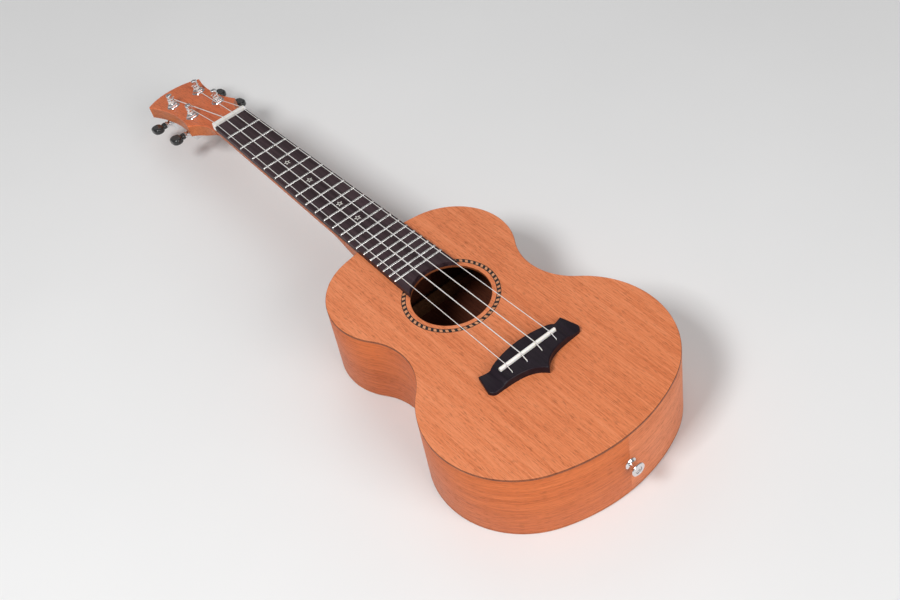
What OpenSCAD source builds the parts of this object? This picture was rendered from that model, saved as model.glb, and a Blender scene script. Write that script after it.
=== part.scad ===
// Tenor ukulele with a tilted four-post headstock, a string-through bridge and geared machine heads.
// +X runs up the neck, +Y is the bass side, +Z comes out of the soundboard.
// The origin lies on the back's outer face, on the centreline, straight under the saddle line.

/* [Scale and frets] */
// String length from the nut to the nominal saddle line
scale_len = 430; // [410:1:450]
// Number of frets
fret_count = 20; // [18:1:20]
// Fret at which the neck meets the body
joint_fret = 14; // [13:1:15]
// Height of a fret above the fingerboard
fret_h = 1; // [0.8:0.1:1.4]
// Width of a fret's crown
fret_w = 2; // [1.6:0.1:2.4]
// Thickness of the tang under a fret
tang_t = 0.5; // [0.4:0.05:0.8]
// Depth of the tang in its slot
tang_h = 2; // [1.5:0.1:3]

/* [Body] */
// Length of the body from the neck joint to the tail
body_len = 303; // [290:1:320]
// Depth of the body over both plates
body_depth = 70; // [60:1:80]
// Half width of the upper bout
upper_hw = 87; // [82:1:94]
// Half width of the waist
waist_hw = 68.5; // [64:0.5:72]
// Half width of the lower bout
lower_hw = 110; // [104:1:118]
// Radius of the upper bout's corners
upper_r = 57; // [50:1:62]
// Radius of the lower bout's corners
lower_r = 80; // [72:1:86]
// Upper bout's widest line, from the neck joint
upper_from_joint = 58.6; // [54:0.2:64]
// Lower bout's widest line, from the tail
lower_from_tail = 86.4; // [82:0.2:92]
// Thickness of the soundboard
top_t = 2.2; // [1.8:0.1:3]
// Thickness of the back
back_t = 2.2; // [1.8:0.1:3]
// Thickness of the ribs
rib_t = 2; // [1.6:0.1:2.8]
// Radius of the soundhole
hole_r = 33.8; // [30:0.2:36]
// Soundhole's centre, from the neck joint
hole_from_joint = 98.6; // [94:0.2:102]

/* [Rosette] */
// Inner radius of the rosette
rosette_r0 = 37.6; // [37:0.1:39]
// Outer radius of the rosette
rosette_r1 = 41.4; // [40:0.1:43]
// Width of the black line at each edge of the rosette
rosette_line = 0.6; // [0.4:0.1:0.8]
// Depth of the rosette's channel
rosette_t = 0.8; // [0.5:0.1:1.2]

/* [Inside the body] */
// Width of the linings
lining_w = 4.5; // [3.5:0.5:6]
// Height of the linings
lining_h = 9; // [6:0.5:12]
// Length of the neck block along the centreline
neck_block_l = 24; // [18:1:30]
// Half width of the neck block
neck_block_hw = 27; // [24:1:32]
// Length of the tail block along the centreline
tail_block_l = 13; // [10:1:18]
// Half width of the tail block
tail_block_hw = 26; // [20:1:32]
// Width of a transverse bar
bar_w = 7; // [5:0.5:9]
// Height of a soundboard bar
top_bar_h = 9; // [7:0.5:12]
// Height of a back bar
back_bar_h = 10; // [7:0.5:13]
// Width of a fan brace
fan_w = 5; // [4:0.5:6]
// Height of a fan brace
fan_h = 6; // [4:0.5:8]
// Thickness of the bridge plate
plate_t = 1.5; // [1.2:0.1:2.5]
// Half length of the bridge plate across the top
plate_hw = 50; // [44:1:56]

/* [Neck and fingerboard] */
// Width of the fingerboard at the nut
nut_w = 36; // [34:0.5:38]
// Width of the fingerboard at the body joint
joint_w = 47.6; // [44:0.2:50]
// Thickness of the fingerboard
board_t = 5; // [4:0.2:6]
// Depth of the neck under the fingerboard at the nut
neck_d0 = 14; // [12:0.5:16]
// Depth of the neck under the fingerboard at the heel
neck_d1 = 17; // [15:0.5:20]
// Length of the heel at its foot
heel_foot = 13; // [10:1:18]
// Length of the heel where it runs out into the neck
heel_run = 40; // [32:1:50]
// Outer radius of a star inlay
star_r = 3.5; // [2.5:0.1:4.5]
// Line width of a star inlay
star_line = 0.75; // [0.5:0.05:1]
// Thickness of the star inlays
star_t = 0.8; // [0.5:0.1:1.5]
// Radius of the neck bolt
bolt_r = 3; // [2.5:0.5:4]
// Height of the neck bolt above the back
bolt_z = 38; // [30:1:45]
// Outer radius of the threaded insert in the heel
insert_r = 4.5; // [4:0.25:5.5]
// Length of the threaded insert
insert_l = 14; // [10:1:16]

/* [Nut, saddle and bridge] */
// Thickness of the nut along the neck
nut_t = 5; // [4:0.5:6]
// Height of the nut above the neck
nut_h = 8; // [7.4:0.1:9]
// Thickness of the bridge
bridge_h = 7; // [6:0.2:8]
// Thickness of the bridge's wings
wing_h = 4; // [3:0.2:5]
// Half length of the bridge across the top
bridge_hw = 47; // [44:0.5:50]
// Saddle line, measured back from the nominal scale end
saddle_back = 2.5; // [1:0.5:4]
// Thickness of the saddle
saddle_t = 3; // [2.5:0.1:3.5]
// Length of the saddle
saddle_l = 57.5; // [54:0.5:60]
// Height of the saddle above the soundboard
saddle_h = 10; // [9:0.2:11]
// Depth of the saddle's slot
saddle_slot = 4; // [3:0.2:5]
// Side clearance of the saddle in its slot
saddle_fit = 0.05; // [0.02:0.01:0.1]

/* [Strings] */
// Radius of each string, bass to treble
string_r = [0.33, 0.46, 0.41, 0.33];
// String spacing at the nut
nut_pitch = 10.4; // [9.6:0.1:11]
// String spacing at the saddle
saddle_pitch = 15.2; // [14:0.1:16]
// Gap between a nut slot's floor and the crown of the first fret
nut_action = 0.5; // [0.3:0.05:0.8]
// Distance of the string holes behind the saddle
hole_back = 8; // [7:0.5:9]
// Radius of the string holes
string_hole_r = 0.9; // [0.7:0.05:1.2]

/* [Headstock] */
// Backward tilt of the headstock in degrees
head_tilt = 13; // [10:0.5:15]
// Drop of the headstock's face below the neck's top, at the nut
head_drop = 2; // [1:0.5:3]
// Thickness of the headstock over its veneer
head_t = 12; // [11:0.5:13]
// Thickness of the face veneer
veneer_t = 1.2; // [0.8:0.1:2]
// Distance from the nut to the headstock's front corners
corner_s = 40; // [36:1:44]
// Half width of the headstock at its front corners
corner_hw = 28.6; // [27:0.2:30]
// Half width of the headstock at its end corners
end_hw = 31; // [28:0.2:33]
// Half width of the headstock at its narrowest
pinch_hw = 23.8; // [23.8:0.1:25]
// Distance from the nut to the narrowest place
pinch_s = 79; // [74:1:86]
// Length of the headstock at its end corners
head_len = 126; // [118:1:132]
// Crown of the headstock's end
end_crown = 11; // [4:0.5:14]

/* [Machine heads] */
// Distance of the near posts from the nut
post_s0 = 53.3; // [50:0.1:56]
// Distance of the far posts from the nut
post_s1 = 97.5; // [95:0.1:99]
// Distance of the posts from the centreline
post_y = 15.3; // [14.8:0.1:15.3]
// Radius of a string post
post_r = 3; // [2.5:0.1:3.2]
// Radius of a string post at its waist
post_waist_r = 2.5; // [2:0.1:2.6]
// Height of a string post above the headstock
post_h = 13.6; // [12:0.2:15]
// Radial clearance of every turning shaft
run_fit = 0.05; // [0.02:0.01:0.1]
// Radius of the bushing's barrel
bush_r = 4.4; // [4:0.1:4.8]
// Radius of the washer under the bushing
washer_r = 6.6; // [6:0.1:7.5]
// Depth of the gear housing
house_d = 8.5; // [8:0.1:10]
// Half width of the gear housing across the headstock
house_hw = 8.5; // [8:0.1:9]
// Number of teeth on the worm wheel
wheel_teeth = 14; // [12:1:18]
// Distance from a post to its worm shaft
worm_off = 7.6; // [7:0.1:8]
// Radius of the worm
worm_r = 2.2; // [1.9:0.1:2.4]
// Radius of the worm shaft
shaft_r = 1.5; // [1.2:0.1:1.6]
// Thickness of a tuner button
button_t = 6.5; // [5:0.5:8]
// Width of a tuner button
button_w = 15.6; // [13:0.2:17]

/* [Strap button] */
// Radius of the strap button's waist
strap_waist_r = 3.6; // [3:0.1:4.5]
// Radius of the strap button's head
strap_head_r = 6.2; // [5.6:0.1:8]
// Length of the strap button's waist
strap_waist_l = 5; // [4:0.5:8]
// Radius of the strap button's screw
strap_screw_r = 1.5; // [1.2:0.1:2]

/* [Hidden] */
$fn = 96;
eps = 0.01;
arc_step = 4;

mahogany = [0.80, 0.49, 0.28];
mahogany_side = [0.70, 0.40, 0.18];
head_wood = [0.76, 0.38, 0.22];
spruce = [0.86, 0.72, 0.50];
rosewood = [0.23, 0.16, 0.17];
ebony = [0.12, 0.10, 0.12];
bone = [0.95, 0.93, 0.88];
chrome_col = [0.80, 0.81, 0.83];
brass_col = [0.78, 0.63, 0.32];

// Places along the centreline
function fret_x(n) = scale_len * pow(2, -n / 12);
joint_x = fret_x(joint_fret);
tail_x = joint_x - body_len;
upper_x = joint_x - upper_from_joint;
lower_x = tail_x + lower_from_tail;
hole_x = joint_x - hole_from_joint;
saddle_x = -saddle_back;
string_hole_x = saddle_x - hole_back;

// Heights
top_under = body_depth - top_t;
board_top = body_depth + board_t;
bridge_top = body_depth + bridge_h;
saddle_top = body_depth + saddle_h;
slot_floor = board_top + fret_h + nut_action;

// Body outline: four tangent arcs a side, where inset moves every arc inwards by the same amount
upper_y = upper_hw - upper_r;
lower_y = lower_hw - lower_r;
joint_flat_rise = 1.2;
shoulder_a = upper_from_joint + joint_flat_rise;
shoulder_r = (shoulder_a * shoulder_a + upper_y * upper_y - upper_r * upper_r) / (2 * (shoulder_a - upper_r));
tail_r = (lower_from_tail * lower_from_tail + lower_y * lower_y - lower_r * lower_r)
    / (2 * (lower_from_tail - lower_r));
shoulder_c = [upper_x + shoulder_a - shoulder_r, 0];
tail_c = [tail_x + tail_r, 0];
upper_c = [upper_x, upper_y];
lower_c = [lower_x, lower_y];
// The waist circle touches both bout circles, which gives a quadratic for its place
upper_g = 1 / (2 * (upper_hw - waist_hw));
lower_g = 1 / (2 * (lower_hw - waist_hw));
upper_k = pow(waist_hw - upper_y, 2) - upper_r * upper_r;
lower_k = pow(waist_hw - lower_y, 2) - lower_r * lower_r;
quad_a = lower_g - upper_g;
quad_b = -2 * (lower_g * lower_x - upper_g * upper_x);
quad_c = lower_g * (lower_x * lower_x + lower_k) - upper_g * (upper_x * upper_x + upper_k);
waist_x = (-quad_b + sqrt(quad_b * quad_b - 4 * quad_a * quad_c)) / (2 * quad_a);
waist_r = (pow(waist_x - lower_x, 2) + lower_k) * lower_g;
waist_c = [waist_x, waist_hw + waist_r];

function heading(from, to) = atan2(to[1] - from[1], to[0] - from[0]);
function arc(c, r, a0, a1) =
    let (n = max(1, ceil(abs(a1 - a0) / arc_step)))
    [for (i = [0 : n]) c + r * [cos(a0 + (a1 - a0) * i / n), sin(a0 + (a1 - a0) * i / n)]];
function tail_of(list) = [for (i = [1 : len(list) - 1]) list[i]];
function backwards(list) = [for (i = [len(list) - 1 : -1 : 0]) list[i]];
function flip_y(list) = [for (p = list) [p[0], -p[1]]];
function clip_x(list, limit) = [for (p = list) [min(p[0], limit), p[1]]];

function half_outline(inset) = clip_x(concat(
    arc(shoulder_c, shoulder_r - inset, 0, heading(shoulder_c, upper_c)),
    tail_of(arc(upper_c, upper_r - inset, heading(shoulder_c, upper_c), heading(upper_c, waist_c))),
    tail_of(arc(waist_c, waist_r + inset, heading(waist_c, upper_c), heading(waist_c, lower_c))),
    tail_of(arc(lower_c, lower_r - inset, heading(lower_c, waist_c), heading(tail_c, lower_c))),
    tail_of(arc(tail_c, tail_r - inset, heading(tail_c, lower_c), 180))
), joint_x - inset);

module body_outline(inset) {
    half = half_outline(inset);
    other = backwards(flip_y(half));
    polygon(concat(half, [for (i = [1 : len(other) - 2]) other[i]]));
}
module half_band(inset0, inset1) {
    polygon(concat(half_outline(inset0), backwards(half_outline(inset1))));
}
module at_hole() translate([hole_x, 0, 0]) children();
module ring(r0, r1, h) difference() {
    cylinder(r = r1, h = h);
    translate([0, 0, -1]) cylinder(r = r0, h = h + 2);
}
module tail_bore(r) translate([tail_x - 1, 0, body_depth / 2]) rotate([0, 90, 0]) cylinder(r = r, h = 40);
module neck_bore(r) translate([joint_x - 60, 0, bolt_z]) rotate([0, 90, 0]) cylinder(r = r, h = 80);

// String places: 0 is G on the bass side, 3 is A on the treble side
function nut_y(i) = (1.5 - i) * nut_pitch;
function saddle_y(i) = (1.5 - i) * saddle_pitch;
module string_holes() for (i = [0 : 3])
    translate([string_hole_x, saddle_y(i), top_under - plate_t - 1]) cylinder(r = string_hole_r, h = 30);

// ---------- Body ----------
module soundboard() color(mahogany) difference() {
    translate([0, 0, top_under]) linear_extrude(top_t) body_outline(0);
    at_hole() translate([0, 0, top_under - 1]) cylinder(r = hole_r, h = top_t + 2);
    at_hole() translate([0, 0, body_depth - rosette_t]) ring(rosette_r0, rosette_r1, rosette_t + 1);
    string_holes();
}
module back_plate() color(mahogany_side) linear_extrude(back_t) body_outline(0);
module rib() difference() {
    translate([0, 0, back_t]) linear_extrude(top_under - back_t) half_band(0, rib_t);
    neck_bore(bolt_r + bolt_fit);
    tail_bore(strap_screw_r);
}
module rib_bass() color(mahogany_side) rib();
module rib_treble() color(mahogany_side) mirror([0, 1, 0]) rib();

bolt_fit = 0.1;
neck_block_x = joint_x - rib_t - neck_block_l;
tail_block_x = tail_x + rib_t + tail_block_l;
module neck_block() color(spruce) difference() {
    translate([0, 0, back_t]) linear_extrude(top_under - back_t) intersection() {
        body_outline(rib_t);
        translate([neck_block_x, -neck_block_hw]) square([neck_block_l + 10, 2 * neck_block_hw]);
    }
    neck_bore(bolt_r + bolt_fit);
}
module tail_block() color(spruce) difference() {
    translate([0, 0, back_t]) linear_extrude(top_under - back_t) intersection() {
        body_outline(rib_t);
        translate([tail_x, -tail_block_hw]) square([tail_block_x - tail_x, 2 * tail_block_hw]);
    }
    tail_bore(strap_screw_r);
}
module lining_pair() linear_extrude(lining_h) difference() {
    union() {
        half_band(rib_t, rib_t + lining_w);
        mirror([0, 1]) half_band(rib_t, rib_t + lining_w);
    }
    translate([neck_block_x, -neck_block_hw]) square([neck_block_l + 10, 2 * neck_block_hw]);
    translate([tail_x, -tail_block_hw]) square([tail_block_x - tail_x, 2 * tail_block_hw]);
}
module top_linings() color(spruce) translate([0, 0, top_under - lining_h]) lining_pair();
module back_linings() color(spruce) translate([0, 0, back_t]) lining_pair();

// Transverse bars reach from lining to lining
module cross_bar(x, h) linear_extrude(h) intersection() {
    body_outline(rib_t + lining_w);
    translate([x - bar_w / 2, -200]) square([bar_w, 400]);
}
rosette_gap = 6;
bar_x_up = hole_x + rosette_r1 + rosette_gap;
bar_x_low = hole_x - rosette_r1 - rosette_gap;
module top_bars() color(spruce) translate([0, 0, top_under - top_bar_h]) {
    cross_bar(bar_x_up, top_bar_h);
    cross_bar(bar_x_low, top_bar_h);
}
module back_bars() color(spruce) translate([0, 0, back_t])
    for (x = [neck_block_x - 14, hole_x - 12, lower_x + 32, lower_x - 38]) cross_bar(x, back_bar_h);

plate_x0 = -24;
plate_x1 = 14;
module bridge_plate_block() translate([plate_x0, -plate_hw, top_under - plate_t])
    cube([plate_x1 - plate_x0, 2 * plate_hw, plate_t]);
module bridge_plate() color(mahogany_side) difference() {
    bridge_plate_block();
    string_holes();
}
fan_x0 = bar_x_low - bar_w / 2 - 1;
fan_x1 = lower_x - 52;
fan_front_y = 11;
fan_rear_y = 23;
module fan_braces() color(spruce) difference() {
    translate([0, 0, top_under - fan_h]) linear_extrude(fan_h) for (k = [-1 : 1])
        polygon([
            [fan_x0, k * fan_front_y - fan_w / 2], [fan_x0, k * fan_front_y + fan_w / 2],
            [fan_x1, k * fan_rear_y + fan_w / 2], [fan_x1, k * fan_rear_y - fan_w / 2]
        ]);
    bridge_plate_block();
    string_knot_shapes(knot_room);
}

module rosette_lines() color(ebony) at_hole() translate([0, 0, body_depth - rosette_t]) {
    ring(rosette_r0, rosette_r0 + rosette_line, rosette_t);
    ring(rosette_r1 - rosette_line, rosette_r1, rosette_t);
}
module rosette_rope() color(bone) at_hole() translate([0, 0, body_depth - rosette_t])
    ring(rosette_r0 + rosette_line, rosette_r1 - rosette_line, rosette_t);

// ---------- Neck ----------
function board_hw(x) = (nut_w + (joint_w - nut_w) * (scale_len - x) / (scale_len - joint_x)) / 2;
head_x = scale_len + nut_t;
head_z = body_depth - head_drop;
// A place on the headstock: s along it from the nut, y across it, n above its face
function on_head(s, y, n) = [
    head_x + s * cos(head_tilt) + n * sin(head_tilt), y,
    head_z - s * sin(head_tilt) + n * cos(head_tilt)
];
module on_headstock() translate([head_x, 0, head_z]) rotate([0, head_tilt, 0]) children();

// One cross-section of the neck, d deep: nearly round on the neck, squarer and narrower on the heel
section_n = 18;
heel_taper = 0.5;
function section(x, d) =
    let (
        heel = max(0, (d - neck_d1) / (body_depth - neck_d1)),
        power = 2 / (2.3 + 3.7 * heel)
    )
    [for (i = [0 : section_n])
        let (
            a = 180 * i / section_n,
            depth = d * pow(sin(a), power),
            taper = 1 - heel_taper * pow(depth / body_depth, 0.9) * min(1, heel * 3),
            side = (cos(a) < 0 ? -1 : 1) * pow(abs(cos(a)), power)
        )
        [x, board_hw(min(x, scale_len)) * side * taper, body_depth - depth]];
function run_depth(x) = neck_d1 + (neck_d0 - neck_d1) * (x - joint_x) / (head_x - joint_x);
heel_steps = [0, 8, 16, 24, 34, 44, 54, 66, 78, 90];
heel_rings = [for (a = heel_steps) [
    joint_x + heel_run - (heel_run - heel_foot) * cos(a),
    body_depth - (body_depth - run_depth(joint_x + heel_run)) * sin(a)
]];
neck_rings = concat(
    [section(joint_x, body_depth)],
    [for (p = heel_rings) section(p[0], p[1])],
    [for (x = [joint_x + 60, joint_x + 120, joint_x + 180, scale_len - 6]) section(x, run_depth(x))],
    [[for (p = section(head_x, neck_d0))
        [head_x + (p[2] - head_z) * tan(head_tilt), p[1], p[2]]]]
);
// A solid through a list of rings that all have the same number of points
module loft(rings) {
    n = len(rings[0]);
    m = len(rings);
    points = [for (r = rings) for (p = r) p];
    sides = [for (j = [0 : m - 2]) for (i = [0 : n - 1])
        let (k = (i + 1) % n)
        each [[j * n + i, (j + 1) * n + i, (j + 1) * n + k], [j * n + i, (j + 1) * n + k, j * n + k]]];
    start = [for (i = [0 : n - 1]) i];
    end = [for (i = [n - 1 : -1 : 0]) (m - 1) * n + i];
    polyhedron(points, concat(sides, [start, end]), convexity = 4);
}
module neck() color(mahogany_side) difference() {
    loft(neck_rings);
    translate([joint_x - 1, 0, bolt_z]) rotate([0, 90, 0]) cylinder(r = insert_r, h = insert_l + 1);
}
module neck_insert() color(brass_col) translate([joint_x, 0, bolt_z]) rotate([0, 90, 0])
    ring(bolt_r, insert_r, insert_l);
bolt_head_r = 5;
bolt_head_h = 3.5;
bolt_washer_t = 1;
bolt_washer_r = 8;
bolt_reach = 11;
bolt_slip = 0.02;
hex_r = 2.9;
hex_depth = 2;
bolt_seat_x = neck_block_x - bolt_washer_t;
module neck_bolt() color(chrome_col) translate([bolt_seat_x, 0, bolt_z]) rotate([0, 90, 0]) {
    difference() {
        translate([0, 0, -bolt_head_h]) cylinder(r = bolt_head_r, h = bolt_head_h);
        translate([0, 0, -bolt_head_h - 1]) cylinder(r = hex_r, h = hex_depth + 1, $fn = 6);
    }
    translate([0, 0, -eps]) cylinder(r = bolt_r - bolt_slip, h = joint_x + bolt_reach - bolt_seat_x);
}
module neck_bolt_washer() color(chrome_col) translate([bolt_seat_x, 0, bolt_z]) rotate([0, 90, 0])
    ring(bolt_r + bolt_fit, bolt_washer_r, bolt_washer_t);

// Headstock outline: concave cheeks up to sharp corners, a long waist and a crowned end
cheek_s = 12;
cheek_hw = 17.6;
// Radius of the arc that leaves the narrowest place level and rises by rise over run
function cheek_arc(run, rise) = (run * run + rise * rise) / (2 * rise);
function pinch_side(s) =
    let (r = s < pinch_s ? cheek_arc(pinch_s - corner_s, corner_hw - pinch_hw)
        : cheek_arc(head_len - pinch_s, end_hw - pinch_hw))
    pinch_hw + r - sqrt(r * r - pow(s - pinch_s, 2));
cheek_r = cheek_arc(corner_s - cheek_s, corner_hw - cheek_hw);
crown_r = cheek_arc(end_hw, end_crown);
function head_half() = concat(
    [[0, nut_w / 2]],
    [for (i = [0 : 7])
        let (s = cheek_s + (corner_s - cheek_s) * i / 7)
        [s, cheek_hw + cheek_r - sqrt(cheek_r * cheek_r - pow(s - cheek_s, 2))]],
    [for (i = [1 : 16]) let (s = corner_s + (head_len - corner_s) * i / 16) [s, pinch_side(s)]],
    [for (i = [7 : -1 : 0])
        let (y = end_hw * i / 8)
        [head_len + sqrt(crown_r * crown_r - y * y) - crown_r + end_crown, y]]
);
module head_outline() {
    half = head_half();
    other = backwards(flip_y(half));
    polygon(concat(half, [for (i = [1 : len(other) - 1]) other[i]]));
}
module tuner_bores(r) for (i = [0 : 3]) at_post(i) translate([0, 0, -head_t - 1])
    cylinder(r = r, h = head_t + 2);
bush_fit = 0.05;
module headstock() color(head_wood) difference() {
    on_headstock() translate([0, 0, -head_t]) linear_extrude(head_t - veneer_t) head_outline();
    tuner_bores(bush_r + bush_fit);
    for (i = [0 : 3]) at_post(i) at_ear() translate([0, 0, -head_t - 1])
        cylinder(r = tuner_screw_r + bolt_slip, h = tuner_screw_l + 1.5);
}
module headstock_veneer() color(head_wood) difference() {
    on_headstock() translate([0, 0, -veneer_t]) linear_extrude(veneer_t) head_outline();
    tuner_bores(bush_r + bush_fit);
}

// ---------- Fingerboard ----------
board_end_x = hole_x + sqrt(hole_r * hole_r - pow(board_hw(hole_x + hole_r * 0.65), 2));
star_notch = 0.42;
module star(r) polygon([for (k = [0 : 9])
    let (q = k % 2 == 0 ? r : r * star_notch)
    q * [cos(36 * k), sin(36 * k)]]);
module star_ring() difference() {
    star(star_r);
    star(star_r - 2 * star_line);
}
star_frets = [5, 7, 10, 12];
module at_stars() for (n = star_frets)
    translate([(fret_x(n) + fret_x(n - 1)) / 2, 0, board_top - star_t]) children();
module fingerboard() color(rosewood) difference() {
    translate([0, 0, body_depth]) linear_extrude(board_t) polygon([
        [scale_len, nut_w / 2], [scale_len, -nut_w / 2],
        [board_end_x, -board_hw(board_end_x)], [board_end_x, board_hw(board_end_x)]
    ]);
    at_hole() translate([0, 0, body_depth - 1]) cylinder(r = hole_r, h = board_t + 2);
    for (n = [1 : fret_count]) translate([fret_x(n) - tang_t / 2, -joint_w, board_top - tang_h])
        cube([tang_t, 2 * joint_w, tang_h + 1]);
    at_stars() linear_extrude(star_t + 1) star_ring();
}
module star_inlays() color(bone) at_stars() linear_extrude(star_t) star_ring();
module fret(n) translate([fret_x(n), board_hw(fret_x(n)), board_top]) rotate([90, 0, 0])
    linear_extrude(2 * board_hw(fret_x(n))) {
        intersection() {
            scale([fret_w / 2 / fret_h, 1]) circle(r = fret_h);
            translate([-fret_w, 0]) square([2 * fret_w, 2 * fret_h]);
        }
        translate([-tang_t / 2, -tang_h]) square([tang_t, tang_h + eps]);
    }
module frets() color(chrome_col) for (n = [1 : fret_count]) fret(n);

// ---------- Nut, bridge and saddle ----------
slot_side = 0.06;
slot_under = 0.03;
nut_back_drop = 1;
module nut() color(bone) difference() {
    translate([scale_len, nut_w / 2, body_depth]) rotate([90, 0, 0]) linear_extrude(nut_w)
        polygon([[0, 0], [nut_t, 0], [nut_t, nut_h - nut_back_drop], [nut_t * 0.6, nut_h], [0, nut_h]]);
    for (i = [0 : 3]) translate([scale_len - 1, nut_y(i) - string_r[i] - slot_side, slot_floor])
        cube([nut_t + 2, 2 * (string_r[i] + slot_side), nut_h]);
}
front_bulge = 11;
front_dip = 4.5;
front_dip_y = 33;
wing_tip = [7.5, 42.5];
wing_rear = -14;
wing_round = 5;
cusp_len = 13.5;
cusp_fall = 9.5;
front_rise = front_bulge - front_dip;
front_r = (front_dip_y * front_dip_y + front_rise * front_rise) / (2 * front_rise);
function bridge_half() = concat(
    [for (i = [0 : 6]) let (y = front_dip_y * i / 6)
        [front_bulge - front_r + sqrt(front_r * front_r - y * y), y]],
    [wing_tip, [wing_rear + wing_round, bridge_hw]],
    arc([wing_rear + wing_round, bridge_hw - 0.5 - wing_round], wing_round, 100, 180),
    [for (y = [34, 26, 20, 15, 11, 8, 5.5, 3.5, 1.8, 0]) [wing_rear - cusp_len * exp(-y / cusp_fall), y]]
);
module bridge_outline() {
    half = bridge_half();
    other = backwards(flip_y(half));
    polygon(concat(half, [for (i = [1 : len(other) - 2]) other[i]]));
}
module saddle_seat(grow)
    translate([saddle_x - saddle_t / 2 - grow, -saddle_l / 2 - grow, bridge_top - saddle_slot])
        cube([saddle_t + 2 * grow, saddle_l + 2 * grow, saddle_slot + 1]);
// The bridge falls from its full thickness to its wings between these two places
wing_y0 = 30;
wing_y1 = 36;
wing_tip_drop = 1;
side_reach = 60;
module bridge() color(ebony) difference() {
    intersection() {
        translate([0, 0, body_depth]) linear_extrude(bridge_h) bridge_outline();
        translate([-40, 0, body_depth]) rotate([90, 0, 90]) linear_extrude(80) polygon([
            [-side_reach, -1], [side_reach, -1], [side_reach, wing_h - wing_tip_drop], [wing_y1, wing_h],
            [wing_y0, bridge_h], [0, bridge_h + eps],
            [-wing_y0, bridge_h], [-wing_y1, wing_h], [-side_reach, wing_h - wing_tip_drop]
        ]);
    }
    saddle_seat(saddle_fit);
    string_holes();
}
module saddle_profile() {
    translate([-saddle_t / 2, bridge_top - saddle_slot])
        square([saddle_t, saddle_top - saddle_t / 2 - bridge_top + saddle_slot]);
    translate([0, saddle_top - saddle_t / 2]) circle(r = saddle_t / 2);
}
module saddle() color(bone) translate([saddle_x, saddle_l / 2, 0]) rotate([90, 0, 0])
    linear_extrude(saddle_l) saddle_profile();

// ---------- Strings ----------
knot_r = 1.9;
knot_h = 2.5;
wrap_count = 3;
wrap_base = 3.8;
wrap_gap = 0.02;
string_gap = 0.1;
function wrap_n(i, k) = wrap_base + string_r[i] * (1 + 1.9 * k);
function lead_n(i) = wrap_n(i, wrap_count - 1) + 2 * string_r[i] + string_gap;
// The string leaves the nut and meets the inner side of its post at a tangent
nut_leave = nut_t - 0.4;
function lead_end(i) =
    let (
        s0 = -(slot_floor + string_r[i] - head_z) * sin(head_tilt),
        to_post = [post_s(i) - s0, post_side(i) * post_y - nut_y(i)],
        d = norm(to_post),
        r = post_waist_r + string_r[i] + string_gap,
        a = atan2(to_post[1], to_post[0]) - post_side(i) * asin(r / d),
        l = sqrt(d * d - r * r)
    )
    on_head(s0 + l * cos(a), nut_y(i) + l * sin(a), lead_n(i));
function string_route(i) = [
    [string_hole_x, saddle_y(i), top_under - plate_t],
    [string_hole_x, saddle_y(i), bridge_top + 0.1],
    [string_hole_x + 0.7, saddle_y(i), bridge_top + 0.9],
    [saddle_x - 1.5, saddle_y(i), saddle_top + string_r[i] - 0.35],
    [saddle_x, saddle_y(i), saddle_top + string_r[i] + slot_under],
    [scale_len + 0.5, nut_y(i), slot_floor + string_r[i] + slot_under],
    [scale_len + nut_leave, nut_y(i), slot_floor + string_r[i] + slot_under],
    lead_end(i)
];
tube_sides = 8;
function unit(v) = v / norm(v);
function tube_ring(path, k, r) =
    let (
        before = path[max(0, k - 1)],
        after = path[min(len(path) - 1, k + 1)],
        here = path[k],
        along = unit(k == 0 ? after - here : k == len(path) - 1 ? here - before
            : unit(here - before) + unit(after - here)),
        u = unit(cross([0, 1, 0], along)),
        v = cross(along, u)
    )
    [for (j = [0 : tube_sides - 1])
        here + r * (cos(360 * j / tube_sides) * u - sin(360 * j / tube_sides) * v)];
module string_line(i) color(bone)
    loft([for (k = [0 : len(string_route(i)) - 1]) tube_ring(string_route(i), k, string_r[i])]);
knot_room = 0.5;
module string_knot_shapes(room) for (i = [0 : 3])
    translate([string_hole_x, saddle_y(i), top_under - plate_t - knot_h - room])
        cylinder(r = knot_r + room, h = knot_h + room);
module string_knots() color(bone) string_knot_shapes(0);

// ---------- Machine heads ----------
// 0 and 1 are on the bass side, 2 and 3 on the treble side, with the outer strings on the near posts
function post_side(i) = i < 2 ? 1 : -1;
function post_s(i) = (i == 0 || i == 3) ? post_s0 : post_s1;
// Local frame of a machine head: x along the headstock, y outwards to the button, z out of its face
module at_post(i) on_headstock() translate([post_s(i), post_side(i) * post_y, 0])
    mirror([0, post_side(i) < 0 ? 1 : 0, 0]) children();
module all_posts() for (i = [0 : 3]) at_post(i) children();

tuner_screw_r = 0.9;
tuner_screw_l = 7;
screw_head_r = 1.9;
screw_head_h = 1.4;
ear_y = -11;
ear_r = 2.6;
base_t = 1;
washer_t = 0.8;
bush_head = 2.3;
bush_flat_r = 5.5;
house_wall = 1.2;
house_top = -head_t - base_t;
house_end = house_top - house_d;
worm_n = house_top - 3.8;
collar_y = 13.4;
collar_r = 3.3;
wheel_t = 3.6;
mesh_gap = 0.12;
wheel_tip_r = worm_off - worm_r - mesh_gap;
wheel_room = 0.72;
worm_room = 1;
house_x0 = -(wheel_tip_r + wheel_room + house_wall);
house_x1 = worm_off + worm_r + worm_room + house_wall;
post_foot = worm_n - wheel_t / 2 - 0.4;

module at_ear() translate([0, ear_y, 0]) children();
module house_plan(inset) translate([house_x0 + inset, -house_hw + inset])
    square([house_x1 - house_x0 - 2 * inset, 2 * (house_hw - inset)]);
module worm_axis(y0) translate([worm_off, y0, worm_n]) rotate([-90, 0, 0]) children();

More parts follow.
